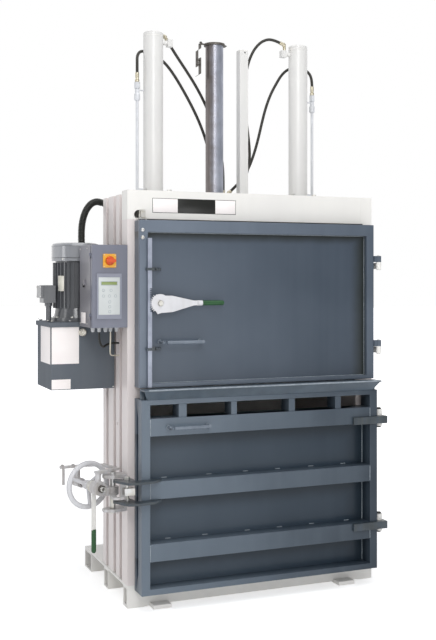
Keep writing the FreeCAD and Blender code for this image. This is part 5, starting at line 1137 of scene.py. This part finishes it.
def addKnee(form, place, way, radius, bend):
    # a quarter of a bent bar at the end of a leg, turned back and sideways
    x, y, z = place
    knee = bmesh.new()
    start = bmesh.ops.create_circle(knee, segments=20, radius=radius * mm,
                                    matrix=standOn(place, (0, -1, 0)))["verts"]
    bmesh.ops.spin(knee, geom=start + edgesOf(start), cent=spot(x + way * bend, y, z), axis=(0, 0, -way),
                   angle=math.pi / 2, steps=6)
    bmesh.ops.recalc_face_normals(knee, faces=knee.faces)
    joinForm(form, knee)


def makeHandle(nodeName, look):
    part = look[nodeName]
    bar, radius, bend, z = bmesh.new(), look["radius"], look["bend"], part["z"]
    left, right = part["ends"]
    for x in (left, right):
        addDisc(bar, (x, part["near"], z), (0, -1, 0), radius, part["near"] - part["far"] - bend, 20)
    addDisc(bar, (left + bend, part["far"], z), (1, 0, 0), radius, right - left - 2 * bend, 20)
    for x, way in ((left, 1), (right, -1)):
        addKnee(bar, (x, part["far"] + bend, z), way, radius, bend)
    bmesh.ops.remove_doubles(bar, verts=bar.verts, dist=touching)
    makePiece(nodeName + "_form", bar, bodyOf(nodeName), slotOf[nodeName], (nodeName,), handlePaint)


def makeHandleWelds(nodeName, look):
    part = look[nodeName]
    feet = bmesh.new()
    for x in part["ends"]:
        addRing(feet, (x, part["footY"], part["z"]), (0, -1, 0), look["footRadius"], look["footThick"], 24)
    makePiece(part["welds"], feet, bodyOf(part["door"]), part["slot"], material=beadHighlightPaint)


def makeLeverWasher(look):
    washer, part = bmesh.new(), look["washer"]
    addRing(washer, part["place"], (0, -1, 0), part["radius"], part["thick"], 36)
    makePiece("lever_washer", washer, bodyOf("sector_lever"), "bright_steel")


def makeDoorDetails(look):
    tabs, part = bmesh.new(), look["tabs"]
    for z in part["heights"]:
        low, high, bolt = (Vector(part[name]) + Vector((0, 0, z)) for name in ("low", "high", "bolt"))
        addBlock(tabs, low, high, 2, 2)
        addDisc(tabs, bolt, (0, -1, 0), 6, 4, 6, edge=0.8)
    makePiece("guide_tabs", tabs, bodyOf("bar_guides"), "door_blue", material=strapPaint)
    sleeve, part = bmesh.new(), look["sleeve"]
    addDisc(sleeve, part["place"], (1, 0, 0), part["radius"], part["length"], 28, edge=1.2)
    makePiece("lever_sleeve", sleeve, bodyOf("lever_grip"), "lever_white")
    # a pale round bar along the top edge of the lip: a painted highlight
    edge, part = bmesh.new(), look["ledge"]
    addDisc(edge, part["place"], (1, 0, 0), part["radius"], part["length"], 12)
    makePiece("ledge_highlight_bar", edge, bodyOf("lower_door_lip"), "door_dark", material=beadHighlightPaint)


makeLeverWasher(leverLook)
for name in ("upper_door_handle", "lower_door_handle"):
    makeHandle(name, handleLook)
makeDoorDetails(leverLook)
for name in ("upper_door_handle", "lower_door_handle"):
    makeHandleWelds(name, handleLook)
print("small details made")
